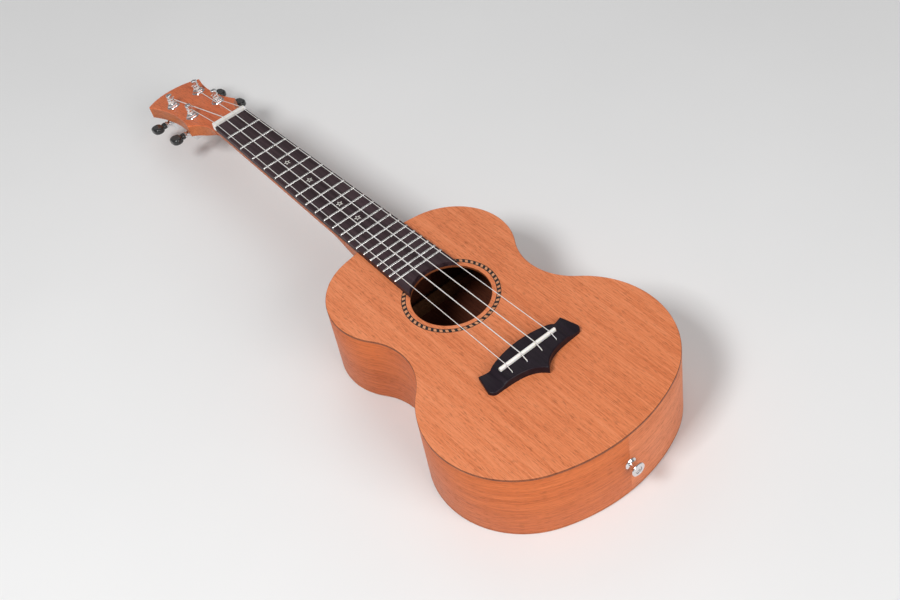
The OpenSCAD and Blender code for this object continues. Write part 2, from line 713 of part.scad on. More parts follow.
module tuner_base_plates() color(chrome_col) all_posts() translate([0, 0, house_top]) difference() {
    linear_extrude(base_t) {
        house_plan(0);
        at_ear() circle(r = ear_r);
        translate([-ear_r, ear_y]) square([2 * ear_r, -house_hw - ear_y + eps]);
    }
    translate([0, 0, -1]) cylinder(r = post_r + run_fit, h = base_t + 2);
    at_ear() translate([0, 0, -1]) cylinder(r = tuner_screw_r + 0.1, h = base_t + 2);
}
module tuner_housings() color(chrome_col) all_posts() difference() {
    union() {
        translate([0, 0, house_end]) linear_extrude(house_d) house_plan(0);
        worm_axis(house_hw - eps) cylinder(r = collar_r, h = collar_y - house_hw + eps);
    }
    translate([0, 0, house_end + house_wall]) linear_extrude(house_d) house_plan(house_wall);
    worm_axis(-house_hw + 0.3) cylinder(r = shaft_r + run_fit, h = collar_y + house_hw + 1);
}
module tuner_washers() color(chrome_col) all_posts() ring(bush_r + bush_fit, washer_r, washer_t);
module tuner_bushings() color(chrome_col) all_posts() difference() {
    union() {
        translate([0, 0, -head_t]) cylinder(r = bush_r, h = head_t + washer_t + eps);
        translate([0, 0, washer_t]) cylinder(r = bush_flat_r, h = bush_head, $fn = 6);
    }
    translate([0, 0, -head_t - 1]) cylinder(r = post_r + run_fit, h = head_t + 10);
}
module tuner_screws() color(chrome_col) all_posts() at_ear() {
    translate([0, 0, house_top - screw_head_h]) cylinder(r = screw_head_r, h = screw_head_h);
    translate([0, 0, house_top - eps]) cylinder(r = tuner_screw_r, h = tuner_screw_l + base_t + eps);
}
hole_n = post_h - 4.4;
post_hole_r = 0.8;
module string_post(i) color(chrome_col) at_post(i) difference() {
    rotate_extrude() polygon([
        [0, post_foot], [post_r, post_foot], [post_r, wrap_base - 0.5], [post_waist_r, wrap_base - 0.2],
        [post_waist_r, post_h - 3.4], [post_r, post_h - 2.4], [post_r, post_h - 0.4],
        [post_r - 0.4, post_h], [0, post_h]
    ]);
    translate([0, -5, hole_n]) rotate([-90, 0, 0]) cylinder(r = post_hole_r, h = 10);
}
tooth_depth = 0.9;
module worm_wheel(i) color(brass_col) at_post(i) translate([0, 0, worm_n - wheel_t / 2]) difference() {
    linear_extrude(wheel_t) polygon([for (k = [0 : 4 * wheel_teeth - 1])
        let (r = k % 4 < 2 ? wheel_tip_r : wheel_tip_r - tooth_depth)
        r * [cos(90 * (k + 0.5) / wheel_teeth), sin(90 * (k + 0.5) / wheel_teeth)]]);
    translate([0, 0, -1]) cylinder(r = post_r + wrap_gap, h = wheel_t + 2);
}
module string_wrap(i) color(bone) at_post(i) rotate_extrude() for (k = [0 : wrap_count - 1])
    translate([post_waist_r + string_r[i] + wrap_gap, wrap_n(i, k)]) circle(r = string_r[i]);
worm_hw = 5.4;
thread_n = 7;
thread_depth = 0.6;
button_y0 = collar_y + 0.4;
shaft_end = button_y0 + 11;
module worm_shaft(i) color(chrome_col) at_post(i) worm_axis(0) rotate_extrude() polygon(concat(
    [[0, -house_hw + 0.5], [shaft_r, -house_hw + 0.5], [shaft_r, -worm_hw]],
    [for (k = [0 : thread_n - 1])
        let (y = -worm_hw + 2 * worm_hw * k / thread_n, p = 2 * worm_hw / thread_n)
        each [
            [worm_r - thread_depth, y + 0.1 * p], [worm_r, y + 0.3 * p],
            [worm_r, y + 0.7 * p], [worm_r - thread_depth, y + 0.9 * p]
        ]],
    [[shaft_r, worm_hw], [shaft_r, shaft_end], [0, shaft_end]]
));
button_neck_l = 3.4;
button_l = 11.6;
button_round = 5.8;
module tuner_button(i) color(ebony) at_post(i) difference() {
    union() {
        worm_axis(button_y0) cylinder(r = collar_r, h = button_neck_l + 1);
        translate([worm_off, button_y0 + button_neck_l, worm_n - button_t / 2]) linear_extrude(button_t) {
            for (side = [-1, 1]) translate([side * (button_w / 2 - button_round), button_round])
                circle(r = button_round);
            translate([-(button_w / 2 - button_round), 0]) square([button_w - 2 * button_round, button_l]);
        }
    }
    worm_axis(button_y0 - 1) cylinder(r = shaft_r + wrap_gap, h = shaft_end - button_y0 + 1.2);
}

// ---------- Strap button ----------
strap_base_r = 5.4;
strap_base_l = 1.8;
strap_head_l = 2.4;
strap_len = strap_base_l + strap_waist_l + strap_head_l;
strap_recess = 1.5;
strap_recess_r = 3.1;
strap_screw_head_r = 3;
strap_screw_head_h = 1.6;
strap_screw_reach = 11;
module on_tail() translate([tail_x, 0, body_depth / 2]) rotate([0, -90, 0]) children();
module strap_button() color(chrome_col) on_tail() difference() {
    rotate_extrude() polygon([
        [0, 0], [strap_base_r, 0], [strap_base_r, 0.8], [strap_waist_r, strap_base_l],
        [strap_waist_r, strap_base_l + strap_waist_l], [strap_head_r, strap_base_l + strap_waist_l + 0.6],
        [strap_head_r, strap_len - 0.8], [strap_head_r - 1.2, strap_len], [0, strap_len]
    ]);
    translate([0, 0, -1]) cylinder(r = strap_screw_r + 0.1, h = strap_len + 2);
    translate([0, 0, strap_len - strap_recess]) cylinder(r = strap_recess_r, h = 2 * strap_recess);
}
module strap_button_screw() color(chrome_col) on_tail() {
    translate([0, 0, strap_len - strap_recess]) cylinder(r = strap_screw_head_r, h = strap_screw_head_h);
    translate([0, 0, -rib_t - strap_screw_reach])
        cylinder(
            r = strap_screw_r - bolt_slip,
            h = strap_screw_reach + rib_t + strap_len - strap_recess + eps
        );
}

soundboard();
back_plate();
rib_bass();
rib_treble();
neck_block();
tail_block();
top_linings();
back_linings();
top_bars();
fan_braces();
bridge_plate();
back_bars();
rosette_lines();
rosette_rope();
neck();
headstock();
headstock_veneer();
neck_bolt();
neck_bolt_washer();
neck_insert();
fingerboard();
frets();
star_inlays();
nut();
bridge();
saddle();
string_knots();
string_line(0);  // string_g
string_line(1);  // string_c
string_line(2);  // string_e
string_line(3);  // string_a
strap_button();
strap_button_screw();
tuner_base_plates();
tuner_housings();
tuner_bushings();
tuner_washers();
tuner_screws();
string_post(0);  // string_post_g
string_post(1);  // string_post_c
string_post(2);  // string_post_e
string_post(3);  // string_post_a
worm_wheel(0);  // worm_wheel_g
worm_wheel(1);  // worm_wheel_c
worm_wheel(2);  // worm_wheel_e
worm_wheel(3);  // worm_wheel_a
string_wrap(0);  // string_wrap_g
string_wrap(1);  // string_wrap_c
string_wrap(2);  // string_wrap_e
string_wrap(3);  // string_wrap_a
worm_shaft(0);  // worm_shaft_g
worm_shaft(1);  // worm_shaft_c
worm_shaft(2);  // worm_shaft_e
worm_shaft(3);  // worm_shaft_a
tuner_button(0);  // tuner_button_g
tuner_button(1);  // tuner_button_c
tuner_button(2);  // tuner_button_e
tuner_button(3);  // tuner_button_a
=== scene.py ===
"""Tenor ukulele in mahogany: dark fingerboard and bridge, rope rosette, chrome machine heads."""

import math

import bmesh
import bpy
from mathutils import Matrix, Vector


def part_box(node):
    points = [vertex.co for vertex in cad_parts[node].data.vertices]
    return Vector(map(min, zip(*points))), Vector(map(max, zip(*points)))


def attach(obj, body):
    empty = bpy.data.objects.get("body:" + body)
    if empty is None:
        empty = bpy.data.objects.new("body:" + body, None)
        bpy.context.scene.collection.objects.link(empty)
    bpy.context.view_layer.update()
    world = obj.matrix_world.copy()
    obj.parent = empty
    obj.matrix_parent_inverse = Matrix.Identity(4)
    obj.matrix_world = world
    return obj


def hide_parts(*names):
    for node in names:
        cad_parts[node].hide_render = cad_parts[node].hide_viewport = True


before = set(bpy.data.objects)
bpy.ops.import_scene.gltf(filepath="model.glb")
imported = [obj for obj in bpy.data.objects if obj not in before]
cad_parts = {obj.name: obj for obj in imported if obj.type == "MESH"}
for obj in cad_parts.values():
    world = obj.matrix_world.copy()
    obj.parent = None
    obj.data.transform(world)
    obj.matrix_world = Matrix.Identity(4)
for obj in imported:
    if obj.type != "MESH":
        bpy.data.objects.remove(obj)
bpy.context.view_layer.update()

# Work is done in millimetres in the instrument's frame, and each piece is scaled to metres when it is done
MM = 0.001
# Vertices nearer than this are one and the same, on a drawn outline and on a finished shape
NEAR = 0.01
FINE = 1e-4
UP = Vector((0, 0, 1))
ROOT = "body"
POST_NAMES = ["g", "c", "e", "a"]


def span(node):
    low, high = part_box(node)
    return low / MM, high / MM


# ---------- Sizes taken from the frame ----------
top_lo, top_hi = span("soundboard")
back_lo, back_hi = span("back_plate")
rope_lo, rope_hi = span("rosette_rope")
line_lo, line_hi = span("rosette_lines")
board_lo, board_hi = span("fingerboard")
nut_lo, nut_hi = span("nut")
bridge_hi = span("bridge")[1]
saddle_lo, saddle_hi = span("saddle")

tail_x = top_lo.x
joint_x = top_hi.x
top_z = top_hi.z
top_under = top_lo.z
board_z = board_hi.z
scale_len = nut_lo.x
hole_x = (rope_lo.x + rope_hi.x) / 2
rosette_out = (line_hi.x - line_lo.x) / 2
rope_out = (rope_hi.x - rope_lo.x) / 2
hole_r = 33.8
rosette_in = 37.6
rope_in = rosette_in + rosette_out - rope_out
rosette_floor = rope_lo.z
saddle_x = (saddle_lo.x + saddle_hi.x) / 2
saddle_z = saddle_hi.z
string_hole_x = saddle_x - 8
string_room = 0.03
string_hole_r = 0.9
string_r = [0.33, 0.46, 0.41, 0.33]
nut_pitch = 10.4
saddle_pitch = 15.2
slot_floor = board_z + 1.5
plate_under = span("bridge_plate")[0].z
# The fingerboard's width at the nut, and how much it gains by the neck joint
nut_w = 36
board_spread = 11.6


def fret_x(n):
    return scale_len * 2 ** (-n / 12)


def board_hw(x):
    return (nut_w + board_spread * (scale_len - x) / (scale_len - joint_x)) / 2


def nut_y(i):
    return (1.5 - i) * nut_pitch


def saddle_y(i):
    return (1.5 - i) * saddle_pitch


# ---------- Headstock frame: s along it, y across it, n out of its face ----------
head_x = nut_hi.x
head_z = top_z - 2
head_tilt = math.radians(13)
head_t = 12
veneer_t = 1.2
head_frame = Matrix.Translation((head_x, 0, head_z)) @ Matrix.Rotation(head_tilt, 4, "Y")
post_y = 15.3
post_s = [53.3, 97.5, 97.5, 53.3]
post_side = [1, 1, -1, -1]


def post_frame(i):
    side = Matrix.Diagonal((1, post_side[i], 1, 1))
    return head_frame @ Matrix.Translation((post_s[i], post_side[i] * post_y, 0)) @ side


# ---------- Workshop ----------
def verts_of(made):
    return [g for g in made if isinstance(g, bmesh.types.BMVert)]


def chain(bm, points, closed=False):
    """Vertices through the points in order, with an edge between each two."""
    verts = [bm.verts.new(p) for p in points]
    edges = [bm.edges.new(pair) for pair in zip(verts, verts[1:])]
    if closed:
        edges.append(bm.edges.new((verts[-1], verts[0])))
    return verts, edges


def swing(bm, vert, centre, turn, step=2.0):
    """Carries a vertex round a centre by turn degrees and leaves an arc of edges behind it."""
    steps = max(2, math.ceil(abs(turn) / step))
    made = bmesh.ops.spin(
        bm, geom=[vert], cent=(centre[0], centre[1], 0), axis=UP, dvec=(0, 0, 0),
        angle=math.radians(turn), steps=steps, use_duplicate=False,
    )
    return verts_of(made["geom_last"])[0]


def reach(bm, vert, *points):
    """Draws straight edges from a vertex through the points."""
    for x, y in points:
        end = bm.verts.new((x, y, 0))
        bm.edges.new((vert, end))
        vert = end
    return vert


def both_sides(bm, axis="Y"):
    bmesh.ops.mirror(bm, geom=bm.verts[:] + bm.edges[:], axis=axis, merge_dist=NEAR)
    bmesh.ops.remove_doubles(bm, verts=bm.verts, dist=NEAR)


def open_middle(bm):
    """Takes out the edges that a mirrored outline leaves on its own centre line."""
    middle = [e for e in bm.edges if all(abs(v.co.y) < NEAR for v in e.verts)]
    bmesh.ops.delete(bm, geom=middle, context="EDGES")


def pull(bm, faces, way):
    """Draws flat faces out along a vector, with walls behind them."""
    drawn = bmesh.ops.extrude_face_region(bm, geom=faces)
    bmesh.ops.translate(bm, vec=way, verts=verts_of(drawn["geom"]))


def bar(points, way):
    """A flat outline drawn out to a solid bar."""
    bm = bmesh.new()
    chain(bm, points, closed=True)
    bmesh.ops.contextual_create(bm, geom=bm.edges[:])
    pull(bm, bm.faces[:], way)
    bmesh.ops.recalc_face_normals(bm, faces=bm.faces)
    return bm


def round_edges(bm, edges, size, segments=3):
    bmesh.ops.bevel(
        bm, geom=edges, offset=size, offset_type="OFFSET", affect="EDGES", segments=segments,
        profile=0.5, material=-1, clamp_overlap=True,
    )


def slab(bm, z0, z1, rim=0.0, under=0.0, segments=3):
    """Fills a closed outline that lies flat, and raises it to a plate with rounded rims."""
    bmesh.ops.translate(bm, vec=(0, 0, z0), verts=bm.verts)
    bmesh.ops.contextual_create(bm, geom=bm.edges[:])
    pull(bm, bm.faces[:], (0, 0, z1 - z0))
    bmesh.ops.recalc_face_normals(bm, faces=bm.faces)
    for size, level in ((rim, z1), (under, z0)):
        if size:
            ring = [e for e in bm.edges if all(abs(v.co.z - level) < FINE for v in e.verts)]
            round_edges(bm, ring, size, segments)
    return bm


def lathe(profile, steps=48):
    """A turned piece: the profile is a list of (radius, height), and closes on itself or on the axis."""
    bm = bmesh.new()
    ring = profile[0][0] > 0 and profile[-1][0] > 0
    verts, edges = chain(bm, [(r, 0, z) for r, z in profile], closed=ring)
    bmesh.ops.spin(
        bm, geom=verts + edges, cent=(0, 0, 0), axis=UP, dvec=(0, 0, 0), angle=math.tau,
        steps=steps, use_merge=True, use_duplicate=False,
    )
    bmesh.ops.remove_doubles(bm, verts=bm.verts, dist=FINE)
    bmesh.ops.recalc_face_normals(bm, faces=bm.faces)
    return bm


def block(low, high, rim=0.0, segments=2):
    low = Vector(low)
    high = Vector(high)
    bm = bmesh.new()
    bmesh.ops.create_cube(bm, size=1)
    bmesh.ops.scale(bm, vec=high - low, verts=bm.verts)
    bmesh.ops.translate(bm, vec=(low + high) / 2, verts=bm.verts)
    if rim:
        round_edges(bm, bm.edges[:], rim, segments)
    return bm


def rod(radius, z0, z1, steps=24):
    return lathe([(0, z0), (radius, z0), (radius, z1), (0, z1)], steps)


def place(bm, matrix):
    bmesh.ops.transform(bm, matrix=matrix, verts=bm.verts)
    return bm


def gather(*parts):
    """One bmesh out of several separate ones."""
    whole = bmesh.new()
    for part in parts:
        sheet = bpy.data.meshes.new("part")
        part.to_mesh(sheet)
        part.free()
        whole.from_mesh(sheet)
        bpy.data.meshes.remove(sheet)
    return whole


def to_object(bm, name):
    sheet = bpy.data.meshes.new(name)
    bm.to_mesh(sheet)
    bm.free()
    made = bpy.data.objects.new(name, sheet)
    bpy.context.scene.collection.objects.link(made)
    return made


def carve(bm, *tools):
    """Cuts each tool's shape out of a piece."""
    for tool_bm in tools:
        bmesh.ops.recalc_face_normals(bm, faces=bm.faces)
        bmesh.ops.recalc_face_normals(tool_bm, faces=tool_bm.faces)
        stock = to_object(bm, "stock")
        tool = to_object(tool_bm, "tool")
        cut = stock.modifiers.new("cut", "BOOLEAN")
        cut.operation = "DIFFERENCE"
        cut.solver = "EXACT"
        cut.object = tool
        bpy.context.view_layer.update()
        done = stock.evaluated_get(bpy.context.evaluated_depsgraph_get())
        result = bpy.data.meshes.new_from_object(done)
        bm = bmesh.new()
        bm.from_mesh(result)
        bpy.data.objects.remove(stock)
        bpy.data.objects.remove(tool)
        bpy.data.meshes.remove(result)
    return bm


def ring_at(bm, count, shape):
    """A closed ring of vertices, started as a circle, each then put where shape(angle) says."""
    made = bmesh.ops.create_circle(bm, segments=count, radius=1, cap_ends=False)
    for v in made["verts"]:
        v.co = shape(math.atan2(v.co.y, v.co.x))
    bm.edges.index_update()
    return sorted({e for v in made["verts"] for e in v.link_edges}, key=lambda e: e.index)


def loft(bm, rings):
    for one, two in zip(rings, rings[1:]):
        bmesh.ops.bridge_loops(bm, edges=one + two)
    for end in (rings[0], rings[-1]):
        bmesh.ops.edgeloop_fill(bm, edges=end)
    bmesh.ops.recalc_face_normals(bm, faces=bm.faces)
    return bm


def cord_line(points, radius, sides=5):
    """A round string along a line of points, as a mesh with closed ends."""
    line = bpy.data.curves.new("line", "CURVE")
    line.dimensions = "3D"
    line.bevel_depth = radius
    line.bevel_resolution = sides
    line.use_fill_caps = True
    run = line.splines.new("POLY")
    run.points.add(len(points) - 1)
    for p, place_ in zip(run.points, points):
        p.co = (*place_, 1)
    holder = bpy.data.objects.new("line", line)
    bpy.context.scene.collection.objects.link(holder)
    bpy.context.view_layer.update()
    sheet = bpy.data.meshes.new_from_object(holder.evaluated_get(bpy.context.evaluated_depsgraph_get()))
    bm = bmesh.new()
    bm.from_mesh(sheet)
    bpy.data.objects.remove(holder)
    bpy.data.curves.remove(line)
    bpy.data.meshes.remove(sheet)
    bmesh.ops.remove_doubles(bm, verts=bm.verts, dist=FINE)
    return bm


def done(bm, name, finish, slot, stands_for, body=ROOT, crease=32, flat=UP):
    """Scales a piece to metres, sets its soft and hard edges, and puts it on its body."""
    bmesh.ops.remove_doubles(bm, verts=bm.verts, dist=2 * FINE)
    bmesh.ops.dissolve_degenerate(bm, edges=bm.edges, dist=FINE)
    bmesh.ops.recalc_face_normals(bm, faces=bm.faces)
    for face in bm.faces:
        face.smooth = abs(face.normal.dot(flat)) < 0.9995
    for edge in bm.edges:
        soft = len(edge.link_faces) == 2 and edge.calc_face_angle(math.pi) < math.radians(crease)
        edge.smooth = soft
    bmesh.ops.scale(bm, vec=(MM, MM, MM), verts=bm.verts)
    piece = to_object(bm, name)
    for one in finish if isinstance(finish, list) else [finish]:
        piece.data.materials.append(one)
    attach(piece, body)
    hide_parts(*stands_for)
    return piece


def second_finish(piece, chosen):
    """Gives a piece's second finish to the faces that are chosen."""
    for face in piece.data.polygons:
        face.material_index = 1 if chosen(face) else 0


# ---------- Finishes ----------
class Bench:
    """A finish under way: its nodes, and short ways to add and join them."""

    def __init__(self, name):
        self.finish = bpy.data.materials.new(name)
        self.finish.use_nodes = True
        self.tree = self.finish.node_tree
        self.shader = self.tree.nodes["Principled BSDF"]
        self.object = self.node("ShaderNodeTexCoord").outputs["Object"]

    def node(self, kind, **values):
        made = self.tree.nodes.new(kind)
        for key, value in values.items():
            setattr(made, key, value)
        return made

    def join(self, source, target):
        self.tree.links.new(source, target)

    def stretched(self, source, scale, turn=(0, 0, 0), shift=(0, 0, 0)):
        made = self.node("ShaderNodeMapping")
        made.inputs["Scale"].default_value = scale
        made.inputs["Rotation"].default_value = turn
        made.inputs["Location"].default_value = shift
        self.join(source, made.inputs["Vector"])
        return made.outputs["Vector"]

    def noise(self, source, scale=1.0, detail=4.0, rough=0.5, warp=0.0):
        made = self.node("ShaderNodeTexNoise")
        made.inputs["Scale"].default_value = scale
        made.inputs["Detail"].default_value = detail
        made.inputs["Roughness"].default_value = rough
        made.inputs["Distortion"].default_value = warp
        self.join(source, made.inputs["Vector"])
        return made.outputs["Fac"]

    def ramp(self, source, stops):
        made = self.node("ShaderNodeValToRGB")
        steps = made.color_ramp.elements
        while len(steps) < len(stops):
            steps.new(0.5)
        for step, (where, colour) in zip(steps, stops):
            step.position = where
            step.color = (*(colour if len(colour) == 3 else colour * 3), 1)
        self.join(source, made.inputs["Fac"])
        return made.outputs["Color"]

    def sums(self, kind, one, two):
        made = self.node("ShaderNodeMath", operation=kind)
        for socket, value in zip(made.inputs, (one, two)):
            if isinstance(value, (int, float)):
                socket.default_value = value
            else:
                self.join(value, socket)
        return made.outputs["Value"]

    def blend(self, kind, amount, one, two):
        made = self.node("ShaderNodeMix", data_type="RGBA", blend_type=kind)
        colours = made.inputs[6], made.inputs[7]
        for socket, value in zip((made.inputs[0], *colours), (amount, one, two)):
            if isinstance(value, (int, float)):
                socket.default_value = value
            elif isinstance(value, tuple):
                socket.default_value = (*value, 1)
            else:
                self.join(value, socket)
        return made.outputs[2]

    def relief(self, height, depth, strength):
        made = self.node("ShaderNodeBump")
        made.inputs["Distance"].default_value = depth
        made.inputs["Strength"].default_value = strength
        self.join(height, made.inputs["Height"])
        return made.outputs["Normal"]

    def wear(self, colour, rough, normal):
        """Puts a pattern's colour, roughness and relief on the shader."""
        for source, socket in ((colour, "Base Color"), (rough, "Roughness"), (normal, "Normal")):
            self.join(source, self.shader.inputs[socket])

    def set(self, **values):
        for key, value in values.items():
            self.shader.inputs[key.replace("_", " ")].default_value = value


def wood(
    name, pale, mid, dark, pore, gloss=0.44, coat=0.06, width=1.0, shift=(0, 0, 0), along=None,
    streak=0.28, tilt=0,
):
    """Straight-grained timber. The grain runs along X, along the piece's own run, or tilted down from X."""
    b = Bench(name)
    source = b.object
    if along:
        split = b.node("ShaderNodeSeparateXYZ")
        b.join(b.object, split.inputs[0])
        run = b.node("ShaderNodeAttribute", attribute_name=along)
        both = b.node("ShaderNodeCombineXYZ")
        b.join(run.outputs["Fac"], both.inputs["X"])
        b.join(split.outputs["Z"], both.inputs["Y"])
        source = both.outputs[0]
    if tilt:
        source = b.stretched(source, (1, 1, 1), turn=(0, -tilt, 0))
    wide = 1 / width

    def grain(lengthwise, across, **how):
        return b.noise(b.stretched(source, (lengthwise, across, across), shift=shift), **how)

    drift = grain(2.4, 11 * wide, detail=2, warp=0.4)
    bands = grain(3.5, 130 * wide, detail=5, rough=0.6, warp=0.1)
    fibre = grain(30, 760 * wide, detail=4, rough=0.6)
    fleck = grain(150, 1500, detail=2, rough=0.5)
    mixed = b.sums("ADD", b.sums("MULTIPLY", drift, 0.22), b.sums("MULTIPLY", bands, streak))
    mixed = b.sums("ADD", mixed, b.sums("MULTIPLY", fibre, 0.78 - streak))
    tone = b.ramp(mixed, [(0.38, dark), (0.5, mid), (0.62, pale)])
    pores = b.ramp(fleck, [(0.54, (1,)), (0.64, (0,))])
    place_of = b.ramp(bands, [(0.38, (1,)), (0.62, (0.5,))])
    holes = b.sums("MULTIPLY", b.sums("SUBTRACT", 1.0, pores), place_of)
    colour = b.blend("MIX", b.sums("MULTIPLY", holes, 0.48), tone, pore)
    dull = b.sums("ADD", b.sums("MULTIPLY", holes, 0.2), b.sums("MULTIPLY", fibre, 0.16))
    height = b.sums("SUBTRACT", fibre, b.sums("MULTIPLY", holes, 1.6))
    b.wear(colour, b.sums("ADD", dull, gloss - 0.08), b.relief(height, 0.00006, 0.6))
    b.set(Coat_Weight=coat, Coat_Roughness=0.3, Specular_IOR_Level=0.3)
    return b.finish


def dark_wood(name, base, light, gloss, coat):
    """Close dark timber with faint lengthwise streaks and short open pores."""
    b = Bench(name)
    streaks = b.noise(b.stretched(b.object, (9, 260, 260)), detail=5, rough=0.6, warp=0.2)
    fleck = b.noise(b.stretched(b.object, (150, 1700, 1700)), detail=2)
    tone = b.ramp(streaks, [(0.36, base), (0.68, light)])
    pores = b.ramp(fleck, [(0.6, (0,)), (0.7, (1,))])
    colour = b.blend("MIX", b.sums("MULTIPLY", pores, 0.5), tone, tuple(c * 0.35 for c in base))
    rough = b.sums("ADD", b.sums("MULTIPLY", streaks, 0.14), gloss - 0.05)
    b.wear(colour, rough, b.relief(b.sums("SUBTRACT", streaks, pores), 0.00004, 0.5))
    b.set(Coat_Weight=coat, Coat_Roughness=0.25, Specular_IOR_Level=0.18)
    return b.finish


def metal(name, colour, gloss, worn=0.06):
    """Plated or turned metal with faint clouding and hair scratches."""
    b = Bench(name)
    haze = b.noise(b.object, scale=90, detail=5)
    hair = b.noise(b.stretched(b.object, (600, 4200, 900), turn=(0.3, 0.5, 0.8)), detail=3)
    shade = b.ramp(haze, [(0.3, tuple(c * 0.9 for c in colour)), (0.7, colour)])
    rough = b.sums("ADD", b.sums("MULTIPLY", haze, worn * 2), gloss)
    b.wear(shade, rough, b.relief(hair, 0.000008, 0.4))
    b.set(Metallic=1.0)
    return b.finish


def moulded(name, pale, mid, gloss, cloud=160, coat=0.0, soft=0.0):
    """Bone, string or moulded plastic: nearly even, with slight clouding and a faint orange skin."""
    b = Bench(name)
    haze = b.noise(b.object, scale=cloud, detail=5, warp=0.4)
    skin = b.noise(b.object, scale=cloud * 9, detail=2)
    rough = b.sums("ADD", b.sums("MULTIPLY", skin, 0.12), gloss - 0.05)
    b.wear(b.ramp(haze, [(0.32, mid), (0.66, pale)]), rough, b.relief(skin, 0.00002, 0.4))
    b.set(Coat_Weight=coat, Coat_Roughness=0.15)
    b.set(Subsurface_Weight=soft, Subsurface_Radius=(0.002, 0.0016, 0.001))
    return b.finish


mahogany_pore = (0.22, 0.06, 0.022)
neck_tones = (0.60, 0.18, 0.056), (0.5, 0.13, 0.038), (0.39, 0.09, 0.025)
top_wood = wood(
    "mahogany_top", (0.84, 0.285, 0.125), (0.75, 0.225, 0.086), (0.63, 0.165, 0.056), mahogany_pore,
)
# A darker mahogany for the top's rims, sound-hole wall and underside. On the underside, inside the body,
# its darkness is painted shade.
edge_wood_and_painted_shade = wood(
    "mahogany_edge_and_painted_shade", (0.30, 0.09, 0.03), (0.22, 0.06, 0.02), (0.15, 0.04, 0.014), (0.06, 0.015, 0.006),
)
# The ribs are one mahogany in two tones: the bass rib is darker with painted shade, and the treble rib is
# lighter with painted light, as the light falls on each side.
rib_wood_bass_painted_shade = wood(
    "mahogany_rib_bass_painted_shade", (0.70, 0.19, 0.052), (0.60, 0.142, 0.034), (0.47, 0.098, 0.02), mahogany_pore,
    along="run", shift=(2, 0, 0),
)
rib_wood_treble_painted_light = wood(
    "mahogany_rib_treble_painted_light", (0.80, 0.265, 0.11), (0.70, 0.205, 0.075), (0.56, 0.145, 0.045), mahogany_pore,
    along="run", shift=(5, 3, 0),
)
back_wood = wood(
    "mahogany_back", (0.58, 0.175, 0.055), (0.48, 0.125, 0.036), (0.37, 0.085, 0.024), mahogany_pore,
    shift=(1, 4, 2),
)
neck_wood = wood("mahogany_neck", *neck_tones, mahogany_pore, width=0.7, shift=(3, 1, 5))
blade_wood = wood(
    "mahogany_headstock", *neck_tones, mahogany_pore, width=0.7, shift=(3, 1, 5), tilt=head_tilt,
)
head_wood = wood(
    "mahogany_veneer", (0.84, 0.225, 0.078), (0.75, 0.17, 0.054), (0.61, 0.12, 0.035), (0.2, 0.035, 0.014),
    width=0.6, shift=(4, 2, 1), gloss=0.38, coat=0.08, tilt=head_tilt,
)
# The inside woods are painted far darker than mahogany and spruce are: painted shade for the inside of the
# closed body.
inner_wood_painted_shade = wood(
    "mahogany_inside_painted_shade", (0.15, 0.04, 0.018), (0.11, 0.028, 0.013), (0.08, 0.019, 0.009),
    (0.045, 0.01, 0.005), gloss=0.62, coat=0.0,
)
spruce_painted_shade = wood(
    "spruce_inside_painted_shade", (0.2, 0.085, 0.036), (0.16, 0.064, 0.027), (0.12, 0.045, 0.019), (0.08, 0.03, 0.013),
    width=0.35, gloss=0.62, coat=0.0, streak=0.5,
)
rosewood = dark_wood("rosewood_board", (0.024, 0.012, 0.015), (0.060, 0.034, 0.040), 0.4, 0.02)
black_wood = dark_wood("blackwood_bridge", (0.010, 0.006, 0.010), (0.020, 0.012, 0.019), 0.36, 0.04)
black_line = moulded("black_purfling", (0.014, 0.009, 0.008), (0.008, 0.006, 0.006), 0.5)
rope_pale = moulded("maple_rope", (0.70, 0.31, 0.15), (0.58, 0.23, 0.10), 0.45)
pearl = moulded("star_inlay", (0.86, 0.83, 0.76), (0.74, 0.72, 0.66), 0.3, cloud=700, coat=0.3)
bone = moulded("bone", (0.96, 0.93, 0.89), (0.9, 0.86, 0.81), 0.34, coat=0.15, soft=0.12)
nylon = moulded("white_string", (0.82, 0.79, 0.77), (0.72, 0.69, 0.67), 0.3, soft=0.1)
chrome = metal("chrome", (0.82, 0.82, 0.83), 0.07)
fret_metal = metal("nickel_fret", (0.74, 0.73, 0.71), 0.16)
steel = metal("zinc_steel", (0.56, 0.56, 0.57), 0.26, worn=0.1)
brass = metal("brass", (0.76, 0.56, 0.26), 0.2, worn=0.1)
button_black = moulded("black_button", (0.02, 0.02, 0.021), (0.012, 0.012, 0.013), 0.22, coat=0.4)

# ---------- Body outline: shoulder, upper bout, waist, lower bout and tail arcs ----------
upper_hw = 87
waist_hw = 68.5
lower_hw = (top_hi.y - top_lo.y) / 2
upper_r = 57
lower_r = 80
upper_from_joint = 58.6
lower_from_tail = 86.4
shoulder_past_joint = 1.2
upper_c = Vector((joint_x - upper_from_joint, upper_hw - upper_r))
lower_c = Vector((tail_x + lower_from_tail, lower_hw - lower_r))
shoulder_a = joint_x - upper_c.x + shoulder_past_joint
shoulder_r = (shoulder_a**2 + upper_c.y**2 - upper_r**2) / (2 * (shoulder_a - upper_r))
shoulder_c = Vector((upper_c.x + shoulder_a - shoulder_r, 0))
tail_a = lower_c.x - tail_x
tail_r = (tail_a**2 + lower_c.y**2 - lower_r**2) / (2 * (tail_a - lower_r))
tail_c = Vector((tail_x + tail_r, 0))
upper_g = 1 / (2 * (upper_hw - waist_hw))
lower_g = 1 / (2 * (lower_hw - waist_hw))
upper_k = (waist_hw - upper_c.y) ** 2 - upper_r**2
lower_k = (waist_hw - lower_c.y) ** 2 - lower_r**2
quad_a = lower_g - upper_g
quad_b = -2 * (lower_g * lower_c.x - upper_g * upper_c.x)
quad_c = lower_g * (lower_c.x**2 + lower_k) - upper_g * (upper_c.x**2 + upper_k)
